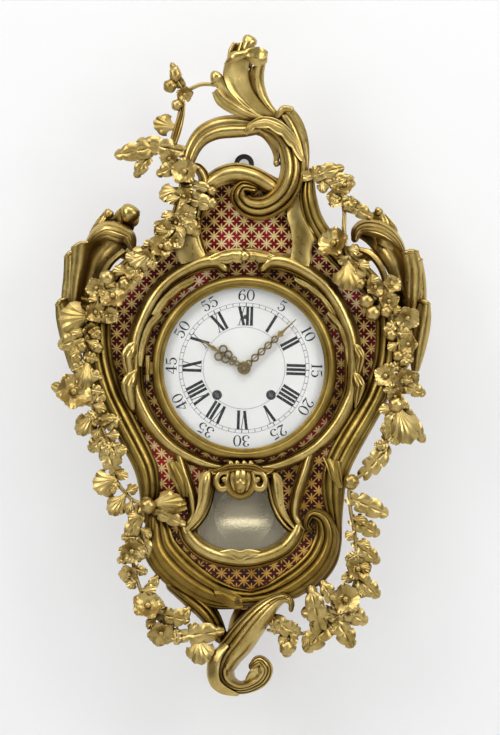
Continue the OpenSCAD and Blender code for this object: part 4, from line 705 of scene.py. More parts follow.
parts += [
    cast([(229, 472, SHELL - 3, 7, 7), (227.5, 482, SHELL - 2, 8, 8), (231.5, 492, SHELL - 2, 8, 8),
        (240.5, 496, SHELL - 2, 8, 8), (249.5, 492, SHELL - 2, 8, 8), (253.5, 482, SHELL - 2, 8, 8),
        (252, 472, SHELL - 3, 7, 7)], RIBBED),
    leaf_between(
        [(233, 470, SHELL - 2), (231, 478, SHELL + 1), (233, 487, SHELL + 1), (238, 494, SHELL - 1)],
        [(248, 470, SHELL - 2), (250, 478, SHELL + 1), (248, 487, SHELL + 1), (243, 494, SHELL - 1)],
        cup=0.25, ribs=3, rib=0.07),
    ball(240.5, 484, SHELL + 4, 6.5, 1.1),
    leaf_between([(220, 551, 10), (231, 549, 13), (240, 551, 13), (249, 549, 13), (260, 551, 10)],
        [(222, 556, 11), (232, 558, 13), (240, 562, 13), (248, 558, 13), (258, 556, 11)], cup=0.2, ribs=1,
        rib=0.08)]
SHELL_SCROLL = [(2, 467, SHELL - 1, 9, 8), (13, 468, SHELL - 1, 9, 8), (24, 472, SHELL - 3, 7, 7),
    (31, 470, SHELL - 5, 3, 4)]
curl = []
for turn, r in ((250, 9), (300, 8), (0, 7), (60, 6.5), (120, 5.5), (180, 4), (250, 2.5)):
    x, y = r * cos(radians(turn)), r * sin(radians(turn))
    curl.append((17.5 + x, 482 + 1.2 * y, SHELL - 2, 6.5, 7))
for side in (-1, 1):
    parts.append(cast(mirrored(WINDOW_U, side, curl), ROUND, steps=4))
    parts.append(cast(mirrored(WINDOW_U, side, SHELL_SCROLL), LOBE, steps=4))
    parts += [ball(WINDOW_U + side * x, 465, SHELL + 1, 3.4, 1.5) for x in (3.5, 10)]
mount(parts, "window_frame_scrolls", "window_frame")

parts = [
    cast([(157, 523, 0, 24, 9), (160, 548, 0, 35, 12), (175, 568, 0, 37, 13), (195, 584, 0, 35, 13),
        (214, 594, 0, 30, 13), (233, 598, 0, 23, 12), (250, 598, 0, 17, 11)], REEDED),
    cast([(312, 531, 2, 5, 8), (307, 525, 1, 8, 9), (312, 515, 0, 12, 10), (323, 520, 0, 18, 11),
        (327, 538, 0, 25, 12), (320, 558, 0, 28, 13), (306, 574, 0, 29, 13), (289, 586, 0, 28, 13),
        (270, 595, 0, 23, 12), (252, 598, 0, 17, 11)], flip(REEDED)),
    cast([(173, 586, -4, 14, 14), (193, 600, -3, 20, 15), (209, 615, -4, 20, 15), (220, 636, -8, 15, 12)],
        FLUTED),
    leaf_between([(150, 505, 8), (160, 496, 12), (172, 493, 13), (184, 495, 9)],
        [(150, 513, 8), (162, 513, 12), (175, 513, 13), (187, 509, 9)], cup=0.1, ribs=3, rib=0.05),
    leaf_between([(213, 588, 12), (222, 587, 14), (232, 592, 14), (242, 597, 11)],
        [(217, 600, 12), (224, 604, 14), (234, 609, 14), (243, 608, 11)], cup=0.1, ribs=2, rib=0.04),
    leaf_between([(167, 464, 7), (170, 474, 9), (176, 485, 9), (181, 496, 8)],
        [(176, 462, 7), (183, 472, 9), (187, 483, 9), (187, 496, 8)], cup=0.2, ribs=2, rib=0.06),
    leaf_between([(322, 458, 9), (326, 466, 11), (330, 476, 11), (338, 487, 8)],
        [(340, 462, 9), (341, 470, 11), (342, 478, 11), (343, 487, 8)], cup=0.12, ribs=3, rib=0.05)]
mount(parts, "lower_frame_scrolls", "lower_frame", gilt_moulding)

parts = [
    cast([(291, 609, 13, 5, 7), (291, 602, 14, 7, 8), (284, 598, 14, 10, 10), (274, 602, 13, 16, 12),
        (263, 612, 9, 24, 15), (251, 626, 2, 29, 19), (239, 642, -6, 31, 23), (229, 656, -12, 27, 25),
        (223, 670, -14, 24, 25), (227, 682, -11, 20, 21), (238, 688, -7, 14, 18), (250, 686, -4, 14, 17),
        (260, 679, -1, 17, 16), (264, 669, 3, 18, 15), (259, 662, 5, 14, 13), (253, 666, 5, 9, 10)],
        flip(SCROLL)),
    leaf_between(
        [(226, 644, 4), (213, 654, 3), (208.5, 668, 2), (211, 683, 2), (221, 692, 2), (238, 695, 2)],
        [(229, 647, 8), (222, 657, 9), (219, 669, 9), (220, 680, 8), (227, 687, 7), (239, 694, 2)],
        cup=0.14, ribs=1, rib=0.03),
    leaf_between([(243, 684, 4), (246, 677, 8), (250, 670, 11), (257, 664, 12)],
        [(250, 690, 4), (257, 683, 8), (262, 675, 12), (265, 666, 12)], cup=0.25, ribs=1, rib=0.10),
    cast([(250, 604, -20, 20, 14), (241, 622, -20, 22, 16), (234, 645, -16, 18, 14)], LOBE)]
mount(parts, "bottom_scroll_casting", "bottom_scroll")

parts = [
    cast([(206, 186, 0, 15, 8), (219, 177, 0, 19, 10), (235, 173, 0, 21, 11), (251, 176, 0, 21, 11),
        (266, 183, 0, 19, 10), (278, 191, 0, 15, 8)], OGEE),
    cast([(190, 167, 1, 7, 8), (198, 168, 1, 10, 10), (204, 178, 0, 12, 10), (203, 194, 0, 12, 10),
        (198, 211, 0, 11, 10), (196, 229, 0, 10, 9), (200, 246, 0, 9, 9), (207, 260, 0, 7, 8)], OGEE),
    cast([(256, 126, -6, 17, 11), (245, 126, -6, 21, 13), (231, 126, -6, 23, 13), (217, 128, -6, 22, 13),
        (204, 134, -5, 20, 12), (195, 144, -3, 17, 11), (189, 158, -1, 14, 10), (187, 172, 0, 10, 8)],
        ARCHED),
    cast([(258, 124, -6, 14, 12), (275, 130, -5, 18, 14), (287, 143, -4, 22, 15), (292, 159, -2, 24, 16),
        (292, 175, 0, 25, 16), (286, 191, 0, 25, 17), (274, 203, 0, 24, 18), (260, 208, 1, 25, 18),
        (247, 205, 2, 23, 18), (240, 196, 3, 20, 17), (244, 188, 4, 15, 15), (253, 189, 5, 10, 12)],
        FLUTED),
    leaf_between(
        [(276, 116, -2), (279, 121, 1), (284, 131, 2), (292, 146, 2), (299, 160, 2), (305, 174, 2)],
        [(284, 107, 3), (293, 110, 4), (302, 123, 4), (307, 140, 3), (308, 158, 2), (306.5, 175, 2)],
        cup=0.1, ribs=2.5, rib=0.06),
    cast([(278, 116, 3, 5, 5), (283, 109, 5, 7, 6), (291, 109, 5, 6, 5)], ROUND),
    leaf_between([(244, 133, 8), (248, 124, 10), (260, 117, 9), (274, 118, 8), (287, 126, 8), (297, 139, 9),
        (303, 155, 9)], [(247, 136, 8), (254, 130, 11), (265, 129, 12), (276, 134, 12), (285, 142, 13),
        (293, 152, 13), (302, 163, 12)], cup=0.12, ribs=2, rib=0.05, teeth=5, bite=0.22),
    leaf_between([(252, 132, -4), (262, 135, -3), (270, 144, -3), (275, 155, -3), (275, 164, -4)],
        [(256, 128, 2), (268, 132, 3), (276, 141, 3), (280, 153, 3), (278, 165, 2)], cup=0.1, wall=2.0),
    ball(277, 163, 1, 3.6)]
parts += [
    leaf_between([(294, 196, 2), (288, 213, 3), (292, 231, 5), (293, 247, 6), (290, 264, 6)],
        [(301, 194, 2), (306, 214, 3), (315, 232, 4), (311, 249, 5), (308, 268, 6)], cup=0.10),
    leaf_between([(187, 204, 3), (181, 225, 5), (174, 244, 6), (182, 264, 7)],
        [(198, 205, 2), (196, 224, 4), (199, 241, 5), (205, 258, 6)], cup=0.10)]
mount(parts, "crest_scrolls", "crest")

parts = [
    leaf_between([(225, 62, 14), (223, 75, 11), (228, 90, 9), (238, 102, 7), (250, 112, 5), (262, 119, 4)],
        [(249, 58, 14), (249, 77, 12), (254, 92, 9), (263, 104, 7), (271, 112, 6), (277, 118, 5)],
        cup=-0.10, ribs=1.5, rib=0.012),
    leaf_between([(224, 64, 13), (231, 53, 17), (241, 51, 18), (252, 50, 17)],
        [(225, 66, 13), (233, 63, 18), (241, 60, 19), (249, 57, 17)], cup=0.30, ribs=1, rib=0.03, wall=2.0),
    leaf_between([(241, 53, 17), (250, 48.5, 19), (260, 47.5, 19), (268, 52, 15)],
        [(245, 57, 17), (251, 64, 18), (259, 67, 17), (267, 63, 14)], cup=0.13, ribs=1.5, rib=0.035,
        wall=2.0),
    leaf_between([(251, 67, 5), (249, 79, 3), (252, 94, 2), (261, 106, 1), (272, 116, 0)],
        [(266, 63, 12), (264, 75, 9), (265, 87, 6), (270, 101, 3), (280, 115, 1)], cup=0.12, ribs=2,
        rib=0.05),
    leaf_between([(213, 92, 8), (218, 103, 6), (230, 111, 4), (246, 117, 2), (260, 121, 1)],
        [(218, 88, 8), (226, 97, 8), (238, 105, 7), (250, 113, 5), (262, 118, 4)], cup=0.2, ribs=1.5,
        rib=0.06),
    leaf_between([(213, 80, 7), (219, 88, 6), (230, 98, 5), (246, 110, 4)],
        [(222, 76, 7), (225, 85, 8), (234, 95, 7), (250, 108, 5)], cup=0.2, ribs=1, rib=0.05),
    ball(216, 77, 8, 6.5),
    leaf_between([(228, 68, 6), (227, 58, 8), (230, 50, 9), (234, 43, 9)],
        [(252, 68, 6), (254, 57, 8), (255, 49, 9), (254, 42, 9)], cup=0.12, ribs=2.5, rib=0.05),
    cast([(229, 58, 8, 4, 5), (231, 50, 9, 5, 5), (234, 44, 9, 4, 5)], ROUND),
    ball(249, 42, 10, 7.5),
    cast([(244, 56, 8, 6, 6), (246, 49, 9, 9, 8), (249, 43, 9, 10, 8)], ROUND),
    cast([(222, 86, 2, 4, 5), (210, 84, 2, 4, 4), (200, 84.5, 2, 4, 4), (190, 89, 2, 4, 4)], ROUND)]
mount(parts, "plume_leaves", "plume")


MOUNT_SCREWS = [(177, 502, 14.5), (237, 601, 15), (300, 253, 8.5), (190, 253, 9), (214, 664, 5)]
heads = [screw_head(u, v, level) for u, v, level in MOUNT_SCREWS]
hand_over(join(heads), "mount_screw_heads", screw_and_hole_shade, "case")


# Wings: a hollow leaf rolled over at its head, with stepped leaf ends down its outer side
def wing(hollow, roll, strips, leaves, arms, knobs):
    parts = [leaf_between(*hollow, cup=-0.32, wall=3.0, columns=20), cast(roll, RIBBED, steps=8)]
    for one, other in strips:
        parts.append(leaf_between(one, other, cup=0.28, ribs=1.5, rib=0.06, wall=2.6, columns=12))
        (u, v, level), (u2, v2, level2) = one[0], other[0]
        parts.append(cast([(u, v + 1, level, 3, 4), ((u + u2) / 2, (v + v2) / 2, level + 2, 5, 5),
            (u2, v2 + 1, level2, 3, 4)], ROUND))
    parts += [leaf_between(*edges, cup=0.12, ribs=2, rib=0.04, teeth=2, bite=0.07) for edges in leaves]
    parts += [cast(marks, ROUND) for marks in arms]
    return parts + [ball(*knob) for knob in knobs]


parts = wing(
    hollow=(
        [(66, 352, -28), (64, 325, -26), (68, 298, -24), (75, 270, -21), (82, 250, -18), (92, 236, -14),
            (106, 224, -10)],
        [(86, 350, -30), (92, 325, -30), (96, 298, -28), (101, 276, -24), (110, 260, -19), (121, 250, -14),
            (130, 242, -9)]),
    roll=[(132, 247, -12, 9, 11), (128, 238, -14, 17, 16), (119, 233, -16, 21, 18), (107, 230, -18, 20, 17),
        (97, 234, -20, 15, 14), (89, 243, -23, 9, 10), (84, 258, -26, 5, 7)],
    strips=[
        (
            [(72, 246, -16), (71, 262, -20), (69, 285, -23), (69, 312, -26)],
            [(87, 241, -14), (85, 262, -19), (80, 285, -22), (76, 312, -25)]),
        (
            [(65, 255, -20), (64, 276, -24), (62, 300, -26), (64, 330, -27)],
            [(73, 250, -20), (73, 276, -23), (71, 300, -25), (70, 330, -26)]),
        (
            [(56, 303, -20), (57, 320, -23), (62, 342, -25), (70, 368, -26)],
            [(64, 298, -20), (73, 320, -22), (77, 342, -24), (74, 368, -26)]),
        (
            [(92, 306, -28), (97, 280, -24), (106, 262, -19), (122, 248, -12)],
            [(98, 308, -28), (104, 282, -24), (113, 264, -19), (127, 253, -12)])],
    leaves=[
        (
            [(84, 246, -26), (89, 231, -22), (97, 218, -19), (104, 210, -18)],
            [(108, 240, -26), (110, 228, -21), (113, 219, -18), (113, 212, -18)]),
        (
            [(100, 240, -26), (108, 224, -21), (115, 212, -17), (122, 205, -15)],
            [(126, 240, -26), (132, 231, -21), (138, 223, -16), (139, 214, -14)])],
    arms=[
        [(74, 300, -40, 14, 10), (90, 303, -42, 12, 10), (108, 306, -42, 12, 10)],
        [(106, 246, -42, 10, 9), (122, 252, -42, 12, 10), (148, 262, -42, 12, 10)]],
    knobs=[(129, 213, -13, 10), (108, 213, -17, 5)])
mount(parts, "left_wing_leaf", "left_wing")
parts = wing(
    hollow=(
        [(420, 352, -28), (424, 325, -26), (420, 298, -24), (413, 272, -21), (406, 252, -18),
            (396, 236, -14), (378, 224, -10)],
        [(400, 350, -30), (397, 325, -30), (395, 298, -28), (390, 276, -24), (380, 258, -19),
            (367, 243, -14), (356, 236, -9)]),
    roll=[(355, 239, -12, 8, 10), (358, 231, -14, 14, 14), (366, 227, -16, 18, 17), (378, 228, -18, 18, 16),
        (390, 234, -20, 15, 13), (400, 244, -23, 9, 10), (406, 258, -26, 5, 7)],
    strips=[
        (
            [(404, 252, -14), (407, 270, -19), (407, 295, -22), (408, 320, -25)],
            [(417, 250, -16), (422, 270, -20), (421, 295, -23), (415, 320, -26)]),
        (
            [(414, 261, -20), (416, 282, -23), (416, 306, -25), (416, 332, -26)],
            [(421, 258, -20), (425, 282, -24), (425, 306, -26), (421, 332, -27)]),
        (
            [(422, 301, -20), (415, 322, -22), (411, 346, -24), (414, 371, -26)],
            [(429, 302, -20), (430, 320, -23), (426, 344, -25), (418, 371, -26)]),
        (
            [(357, 246, -12), (372, 250, -16), (384, 264, -21), (391, 284, -26), (395, 304, -29)],
            [(358, 251, -12), (369, 257, -16), (379, 270, -21), (385, 288, -26), (390, 306, -29)])],
    leaves=[
        (
            [(361, 236, -25), (363, 224, -20), (368, 215, -17), (376, 210, -16)],
            [(408, 256, -25), (403, 240, -20), (397, 226, -17), (387, 214, -16)])],
    arms=[
        [(412, 300, -40, 14, 10), (396, 303, -42, 12, 10), (378, 306, -42, 12, 10)],
        [(380, 250, -42, 10, 9), (366, 256, -42, 12, 10), (340, 264, -42, 12, 10)]],
    knobs=[(379, 211, -15, 4.5)])
mount(parts, "right_wing_leaf", "right_wing")


# Garlands: blooms, leaves and buds are each modelled once and copied along the stems
def make_bloom():
    """An open flower of five cupped petals round a beaded heart, one unit in radius."""
    petal = sheet_grid(8, 7)

    def place_on(across, along):
        side = 2 * across - 1
        reach = 0.08 + 0.92 * along - 0.22 * side * side * along ** 2
        swell = 0.10 + 0.42 * sin(pi * min(0.78, 0.05 + 0.62 * along))
        width = swell * side * (1 - 0.25 * max(0, along - 0.8) * 5 * abs(side))
        lift = 0.04 + 0.42 * along ** 1.4 - 0.5 * max(0, along - 0.72) ** 2 * 4 + 0.14 * side * side * along
        lift += 0.05 * cos(3 * pi * side) * along
        return Vector((reach, width, lift))

    shape(petal, place_on)
    thicken(petal, 0.07)
    petals = []
    for k in range(5):
        tilt = turn_by(4 * (k % 2), "X")
        petals.append(copy_of(petal, turn_by(72 * k, "Z") @ tilt))
    bpy.data.objects.remove(petal)
    heart = start(bpy.ops.mesh.primitive_uv_sphere_add, segments=14, ring_count=7, radius=0.24)
    for point in heart.data.vertices:
        round_way = atan2(point.co.y, point.co.x)
        knurl = 1 + 0.16 * cos(7 * round_way) * (1 - abs(point.co.z) / 0.24)
        point.co = Vector((point.co.x * knurl, point.co.y * knurl, point.co.z * 1.1 + 0.22))
    cup = start(bpy.ops.mesh.primitive_cone_add, vertices=10, radius1=0.10, radius2=0.34, depth=0.5,
        location=(0, 0, -0.08))
    cup.data.transform(Matrix.Translation(cup.location))
    cup.location = (0, 0, 0)
    return join([*petals, heart, cup])


def make_leaf():
    """An oak leaf, one unit long and one wide: round lobes, a sunk midrib and raised veins."""
    leaf = sheet_grid(12, 22)

    def place_on(across, along):
        side = 2 * across - 1
        half = 0.5 * (0.16 + 0.84 * sin(pi * min(1.0, 0.10 + 0.82 * along)) ** 0.8)
        half *= 0.46 + 0.54 * abs(sin(pi * (0.25 + 3.25 * along))) ** 0.6
        if along > 0.93:
            half *= 0.75
        vein = cos(2 * pi * (3.25 * along - 0.5 * abs(side)))
        lift = 0.24 * sin(pi * 0.9 * along) + 0.06 * vein * abs(side) - 0.16 * side * side * along
        lift -= 0.09 * exp(-30 * side * side) + 0.30 * max(0, along - 0.7) ** 2 * 3
        return Vector((along - 0.05 * abs(side), half * side, lift))

    shape(leaf, place_on)
    return thicken(leaf, 0.11)


def make_fan():
    """A broad vine leaf, one unit long and one wide: five round lobes with flutes running out to them."""
    fan = sheet_grid(20, 9)

    def place_on(across, along):
        side = 2 * across - 1
        rim = 0.80 + 0.20 * abs(cos(2.5 * pi * side)) ** 0.6
        turn = radians(62) * side * (0.45 + 0.55 * along)
        far = (0.04 + 0.96 * along) * (1 + (rim - 1) * along ** 2)
        lift = 0.05 + 0.26 * sin(pi * 0.72 * along) + 0.055 * cos(5 * pi * side) * along
        lift -= 0.20 * side * side * along + 0.5 * max(0, along - 0.75) ** 2
        return Vector((far * cos(turn), 0.62 * far * sin(turn), lift))

    shape(fan, place_on)
    return thicken(fan, 0.10)


def make_bud():
    """A closed bud in its calyx, one unit in radius."""
    bud = start(bpy.ops.mesh.primitive_uv_sphere_add, segments=15, ring_count=9, radius=1)
    for point in bud.data.vertices:
        round_way = atan2(point.co.y, point.co.x)
        fold = 1 + 0.13 * cos(5 * round_way) * (0.4 + 0.6 * max(0, point.co.z))
        point.co = Vector((point.co.x * fold, point.co.y * fold, 0.85 * point.co.z + 0.35))
    return bud


bloom_model, leaf_model, fan_model, bud_model = make_bloom(), make_leaf(), make_fan(), make_bud()


def bloom(u, v, level, r, turn=0):
    """Sets a flower, tipped a little this way or that by where it grows."""
    tip, sway = (7 * u + 3 * v) % 56 - 28, (5 * u + 11 * v) % 56 - 28
    return copy_of(bloom_model, set_at(u, v, level)
                   @ turn_by(tip, "X") @ turn_by(sway, "Y")
                   @ turn_by(turn, "Z") @ Matrix.Scale(r, 4))


def leaf(u, v, u2, v2, level, width, rise=0.0, model=None):
    way = Vector((u2 - u, v - v2, rise))
    along = way.normalized()
    right = along.cross(Vector((0, 0, 1))).normalized() * -1
    out = along.cross(right)
    size = Matrix((along * way.length, right * width, out * min(width, 0.7 * way.length)))
    return copy_of(model or leaf_model, set_at(u, v, level) @ size.transposed().to_4x4())


def fan(u, v, u2, v2, level, width, rise=0.0):
    return leaf(u, v, u2, v2, level, width, rise, fan_model)


def bud(u, v, level, r, stretch=1.0):
    return copy_of(bud_model, set_at(u, v, level) @ Matrix.Diagonal((r, r * stretch, r, 1)))


SPRIG_LONG, SPRIG_WIDE = 14.0, 11.0


def dress(stem, every, skip=()):
    """Small leaves set to either side along a stem, so that it reads as a garland."""
    parts, walked, side, place = [], 0.0, 1, None
    for u, v, level, *rest in smooth_way(stem, 8):
        if place is None:
            place = (u, v)
            continue
        ahead = Vector((u - place[0], v - place[1], 0))
        walked += ahead.length
        place = (u, v)
        if walked < every or any(hypot(u - su, v - sv) < sr for su, sv, sr in skip):
            continue
        walked = 0.0
        side = -side
        ahead.normalize()
        lean = radians(side * (52 + (7 * u + 5 * v) % 24))
        way = Matrix.Rotation(lean, 3, "Z") @ ahead
        reach = SPRIG_LONG * (0.85 + 0.004 * ((11 * u + 3 * v) % 90))
        kind = fan if (u + v) % 3 < 1.6 else leaf
        parts.append(kind(u, v, u + way.x * reach, v + way.y * reach, level + 3, SPRIG_WIDE, 1.5))
    return parts


def slim(stem):
    """The stem itself, thin under its leaves."""
    return [(u, v, level, 0.65 * width, 0.65 * high) for u, v, level, width, high in stem]


STEM_LEFT = [(186, 90, 2, 5, 5), (182, 104, 2, 6, 6), (176, 128, 2, 6, 6), (174, 150, 2, 6, 6),
    (180, 176, 5, 7, 7), (181, 200, TOP - 2, 7, 7), (174, 225, TOP, 7, 7), (160, 245, TOP, 7, 7),
    (138, 264, TOP, 7, 7), (114, 290, TOP, 7, 7), (97, 312, TOP, 7, 7), (86, 340, TOP, 6, 6),
    (86, 372, TOP, 6, 6), (92, 404, TOP, 6, 6), (104, 432, TOP, 6, 6), (116, 452, TOP, 6, 6)]
parts = [
    cast(slim(STEM_LEFT), ROUND),
    cast([(183, 104, 3, 5, 5), (181, 116, 4, 7, 6), (177, 130, 4, 9, 6), (173, 143, 3, 8, 5)], LOBE),
    bud(175, 74, 4, 6, 1.5), leaf(184, 92, 172, 64, 2, 10), bud(170, 86, 4, 7), bloom(184, 93, 5, 9, 10),
    bud(177, 105, 4, 6), fan(177, 128, 154, 122, 4, 20), leaf(180, 151, 139, 142, 4, 19),
    leaf(157, 147, 117, 155, 6, 19), leaf(150, 152, 136, 176, 5, 14), leaf(182, 163, 158, 174, 6, 15),
    bloom(170, 158, 7, 10, 30), bloom(185, 172, 10, 14, 20), fan(180, 188, 160, 198, 8, 18),
    bloom(185, 196, TOP + 1, 10, 50), leaf(184, 182, 213, 190, 9, 10), bud(212, 191, 9, 5),
    leaf(182, 196, 215, 206, 10, 16), bud(212, 203, 9, 6), bloom(186, 214, TOP + 3, 11, 30),
    leaf(178, 214, 198, 234, TOP, 16), bloom(164, 228, TOP + 3, 11), bloom(176, 240, TOP + 3, 9, 25),
    bloom(160, 247, TOP + 4, 13, 10), fan(153, 252, 131, 264, TOP + 1, 23),
    leaf(140, 264, 122, 292, TOP, 18), bloom(113, 297, TOP + 4, 15, 15), bloom(97, 288, TOP + 2, 11, 45),
    bud(107, 278, TOP + 2, 8), bloom(95, 312, TOP + 4, 11, 5), bloom(110, 315, TOP + 3, 9, 30),
    fan(94, 316, 60, 320, TOP, 30), leaf(88, 334, 60, 346, TOP, 20), bud(82, 347, TOP + 2, 6),
    bud(77, 358, TOP + 1, 6), fan(88, 360, 84, 388, TOP + 1, 22), leaf(94, 402, 54, 386, TOP + 1, 18),
    bloom(73, 393, TOP + 3, 19, 50), leaf(92, 404, 104, 390, TOP + 1, 16), fan(96, 412, 78, 434, TOP, 20),
    leaf(102, 426, 120, 418, TOP + 1, 15), leaf(106, 436, 90, 450, TOP, 17),
    leaf(110, 440, 118, 462, TOP, 16), bloom(100, 420, TOP + 3, 10, 20)]
parts += [bloom(146, 256, TOP + 3, 10, 12), bloom(133, 272, TOP + 3, 9, 33), bloom(176, 222, TOP + 2, 9, 8),
    bud(168, 246, TOP + 4, 6), bud(124, 284, TOP + 4, 6), bloom(194, 224, TOP, 8, 40),
    bloom(90, 330, TOP + 3, 9, 15), bud(98, 348, TOP + 2, 6)]
parts += dress(STEM_LEFT[4:], 7.5)
mount(parts, "left_garland_flowers", "left_garland", gilt_leafage)

STEM_RIGHT = [(304, 176, 9, 5, 5), (322, 180, 9, 6, 6), (338, 192, 9, 6, 6), (344, 210, 9, 6, 6),
    (344, 232, TOP - 1, 7, 7), (348, 256, TOP, 7, 7), (364, 280, TOP, 7, 7), (382, 298, TOP, 7, 7),
    (394, 322, TOP, 7, 7), (399, 350, TOP, 6, 6), (399, 380, TOP, 6, 6), (394, 408, TOP, 6, 6),
    (392, 428, TOP, 6, 6), (384, 450, TOP, 5, 5)]
parts = [
    cast(slim(STEM_RIGHT), ROUND),
    leaf(306, 176, 342, 168, 10, 16), leaf(320, 180, 352, 178, 10, 12), bloom(345, 186, 12, 11),
    bloom(336, 197, 12, 11, 30), bud(348, 206, 11, 7), leaf(346, 202, 371, 217, 5, 15),
    bloom(335, 245, TOP + 3, 17, 8), fan(346, 260, 352, 290, TOP + 1, 30), bloom(374, 288, TOP + 3, 11),
    bloom(391, 285, TOP + 2, 10, 40), bloom(388, 301, TOP + 3, 11, 20), bud(367, 301, TOP + 2, 8),
    bud(373, 313, TOP + 2, 8), bloom(407, 317, TOP + 2, 13, 40), bud(391, 335, TOP + 3, 6),
    bloom(409, 344, TOP + 2, 11), bud(398, 356, TOP + 2, 6), bud(404, 363, TOP + 1, 6),
    bloom(386, 376, TOP + 2, 12, 12), bloom(405, 379, TOP + 1, 15, 30), leaf(402, 384, 424, 394, TOP, 14),
    bud(396, 405, TOP + 2, 8), leaf(396, 410, 386, 440, TOP + 1, 18), fan(397, 406, 410, 443, TOP + 1, 28),
    leaf(398, 404, 423, 440, TOP - 1, 16)]
parts += [bloom(352, 268, TOP + 3, 9, 22), bud(360, 284, TOP + 3, 6), bloom(396, 396, TOP + 3, 9, 14),
    bud(386, 312, TOP + 4, 6)]
parts += dress(STEM_RIGHT, 8.0, skip=[(344, 222, 14)])
mount(parts, "right_garland_flowers", "right_garland", gilt_leafage)

STEM_LOW_LEFT = [(113, 460, TOP - 3, 6, 6), (116, 480, TOP - 3, 6, 6), (130, 498, TOP - 3, 6, 6),
    (143, 508, TOP - 2, 7, 7), (139, 530, 8, 6, 6), (133, 556, 6, 6, 6), (137, 580, 4, 6, 6),
    (148, 606, 4, 6, 6), (165, 625, 4, 6, 6), (186, 634, 4, 6, 6), (204, 642, 4, 6, 6)]
parts = [
    cast(slim(STEM_LOW_LEFT), ROUND),
    leaf(116, 472, 104, 444, TOP - 2, 20), fan(118, 478, 94, 488, TOP - 2, 26),
    fan(126, 494, 110, 514, TOP - 2, 20), bud(148, 506, TOP + 2, 8), fan(150, 504, 182, 500, TOP - 2, 20),
    leaf(154, 510, 184, 524, TOP - 2, 14), leaf(140, 506, 128, 542, 10, 16),
    leaf(138, 530, 150, 556, 8, 14), bloom(131, 550, 10, 14, 20), bloom(130, 573, 8, 11, 45),
    bloom(148, 607, 9, 16, 5), leaf(146, 594, 158, 576, 6, 11), leaf(158, 614, 188, 620, 7, 18),
    leaf(176, 624, 190, 607, 7, 12), bloom(161, 632, 7, 14, 40), leaf(182, 636, 222, 631, 6, 20),
    fan(198, 636, 202, 664, 6, 26)]
parts += dress(STEM_LOW_LEFT, 9.5)
mount(parts, "left_lower_garland_flowers", "left_lower_garland", gilt_leafage)

STEM_LOW_RIGHT = [(382, 452, TOP - 3, 5, 5), (368, 470, TOP - 3, 6, 6), (351, 484, TOP - 1, 6, 6),
    (350, 505, 8, 6, 6), (355, 535, 6, 6, 6), (357, 565, 5, 6, 6), (352, 592, 4, 6, 6), (336, 618, 4, 6, 6),
    (310, 632, 4, 6, 6), (288, 634, 4, 5, 5), (268, 630, 8, 5, 5)]
parts = [
    cast(slim(STEM_LOW_RIGHT), ROUND),
    leaf(364, 474, 388, 448, TOP - 2, 20), bud(351, 482, TOP + 2, 8), leaf(351, 498, 386, 514, 9, 20),
    leaf(353, 520, 378, 534, 7, 17), leaf(356, 543, 378, 562, 6, 16), bloom(357, 570, 8, 14, 18),
    leaf(356, 576, 378, 596, 6, 18), bloom(345, 600, 9, 16, 30), leaf(342, 608, 366, 622, 6, 19),
    leaf(336, 618, 352, 646, 5, 20), leaf(334, 616, 303, 612, 7, 20), leaf(320, 626, 311, 588, 13, 19),
    leaf(336, 604, 322, 582, 11, 15), leaf(330, 622, 306, 650, 5, 22), leaf(292, 632, 286, 656, 4, 16),
    bud(287, 648, 4, 8), leaf(296, 634, 268, 616, 7, 17)]
parts += dress(STEM_LOW_RIGHT[3:], 9.5)
mount(parts, "right_lower_garland_flowers", "right_lower_garland", gilt_leafage)
for model in (bloom_model, leaf_model, fan_model, bud_model):
    bpy.data.objects.remove(model)


# Bezel: a turned ring with its hinge knuckle
TURN_STEPS, LINE_STEPS = 192, 180


def turned(profile):
    """A ring turned about the dial's axis from a closed profile of (radius, level)."""
    count = len(profile)
    piece = sheet_grid(count, TURN_STEPS)

    def place_on(across, along):
        r, level = profile[round(across * count) % count]
        turn = 2 * pi * round(along * TURN_STEPS) / TURN_STEPS
        return Vector((r * cos(turn), r * sin(turn) - DIAL_DROP, level))

    shape(piece, place_on)
    return tidy(piece)


def ease(piece, width):
    """Takes the sharpness off a piece's edges."""
    modifier = piece.modifiers.new("ease", "BEVEL")
    modifier.width = width
    modifier.segments = 2
    bpy.ops.object.modifier_apply(modifier="ease")


def barrel_along(x, y0, y1, level, r):
    """A hinge barrel standing up the sheet, its ends eased."""
    piece = start(bpy.ops.mesh.primitive_cylinder_add, vertices=28, radius=r, depth=y1 - y0)
    ease(piece, 0.3)
    piece.data.transform(Matrix.Translation((x, (y0 + y1) / 2, level)) @ turn_by(90, "X"))
    return piece


HINGE_X, HINGE_LEVEL, KNUCKLE = -96.4, 92, 12
bezel_ring = turned([(84.75, 81.3), (92.6, 81.3), (93, 81.7), (93, 87.6), (92.7, 89.9), (91.8, 92.0),
    (90.4, 93.9), (88.7, 95.3), (87.0, 95.9), (85.6, 95.6), (84.7, 94.9), (84.2, 94.1), (83.8, 93.6),
    (83.0, 93.5), (82.3, 93.7), (81.5, 93.6), (80.8, 93.2), (80.5, 92.6), (80.5, 91.7), (84.75, 91.7)])
tab = start(bpy.ops.mesh.primitive_cube_add, size=1)
tab.data.transform(Matrix.Translation((HINGE_X + 3.6, -DIAL_DROP, HINGE_LEVEL - 0.7))
                   @ Matrix.Diagonal((6.6, KNUCKLE, 2.6, 1)))
ease(tab, 0.4)
knuckle = barrel_along(HINGE_X, -DIAL_DROP - KNUCKLE / 2, -DIAL_DROP + KNUCKLE / 2, HINGE_LEVEL, 2.3)
hand_over(join([bezel_ring, tab, knuckle]), "bezel_ring", gilt_moulding, "bezel_door",
    ["bezel"])


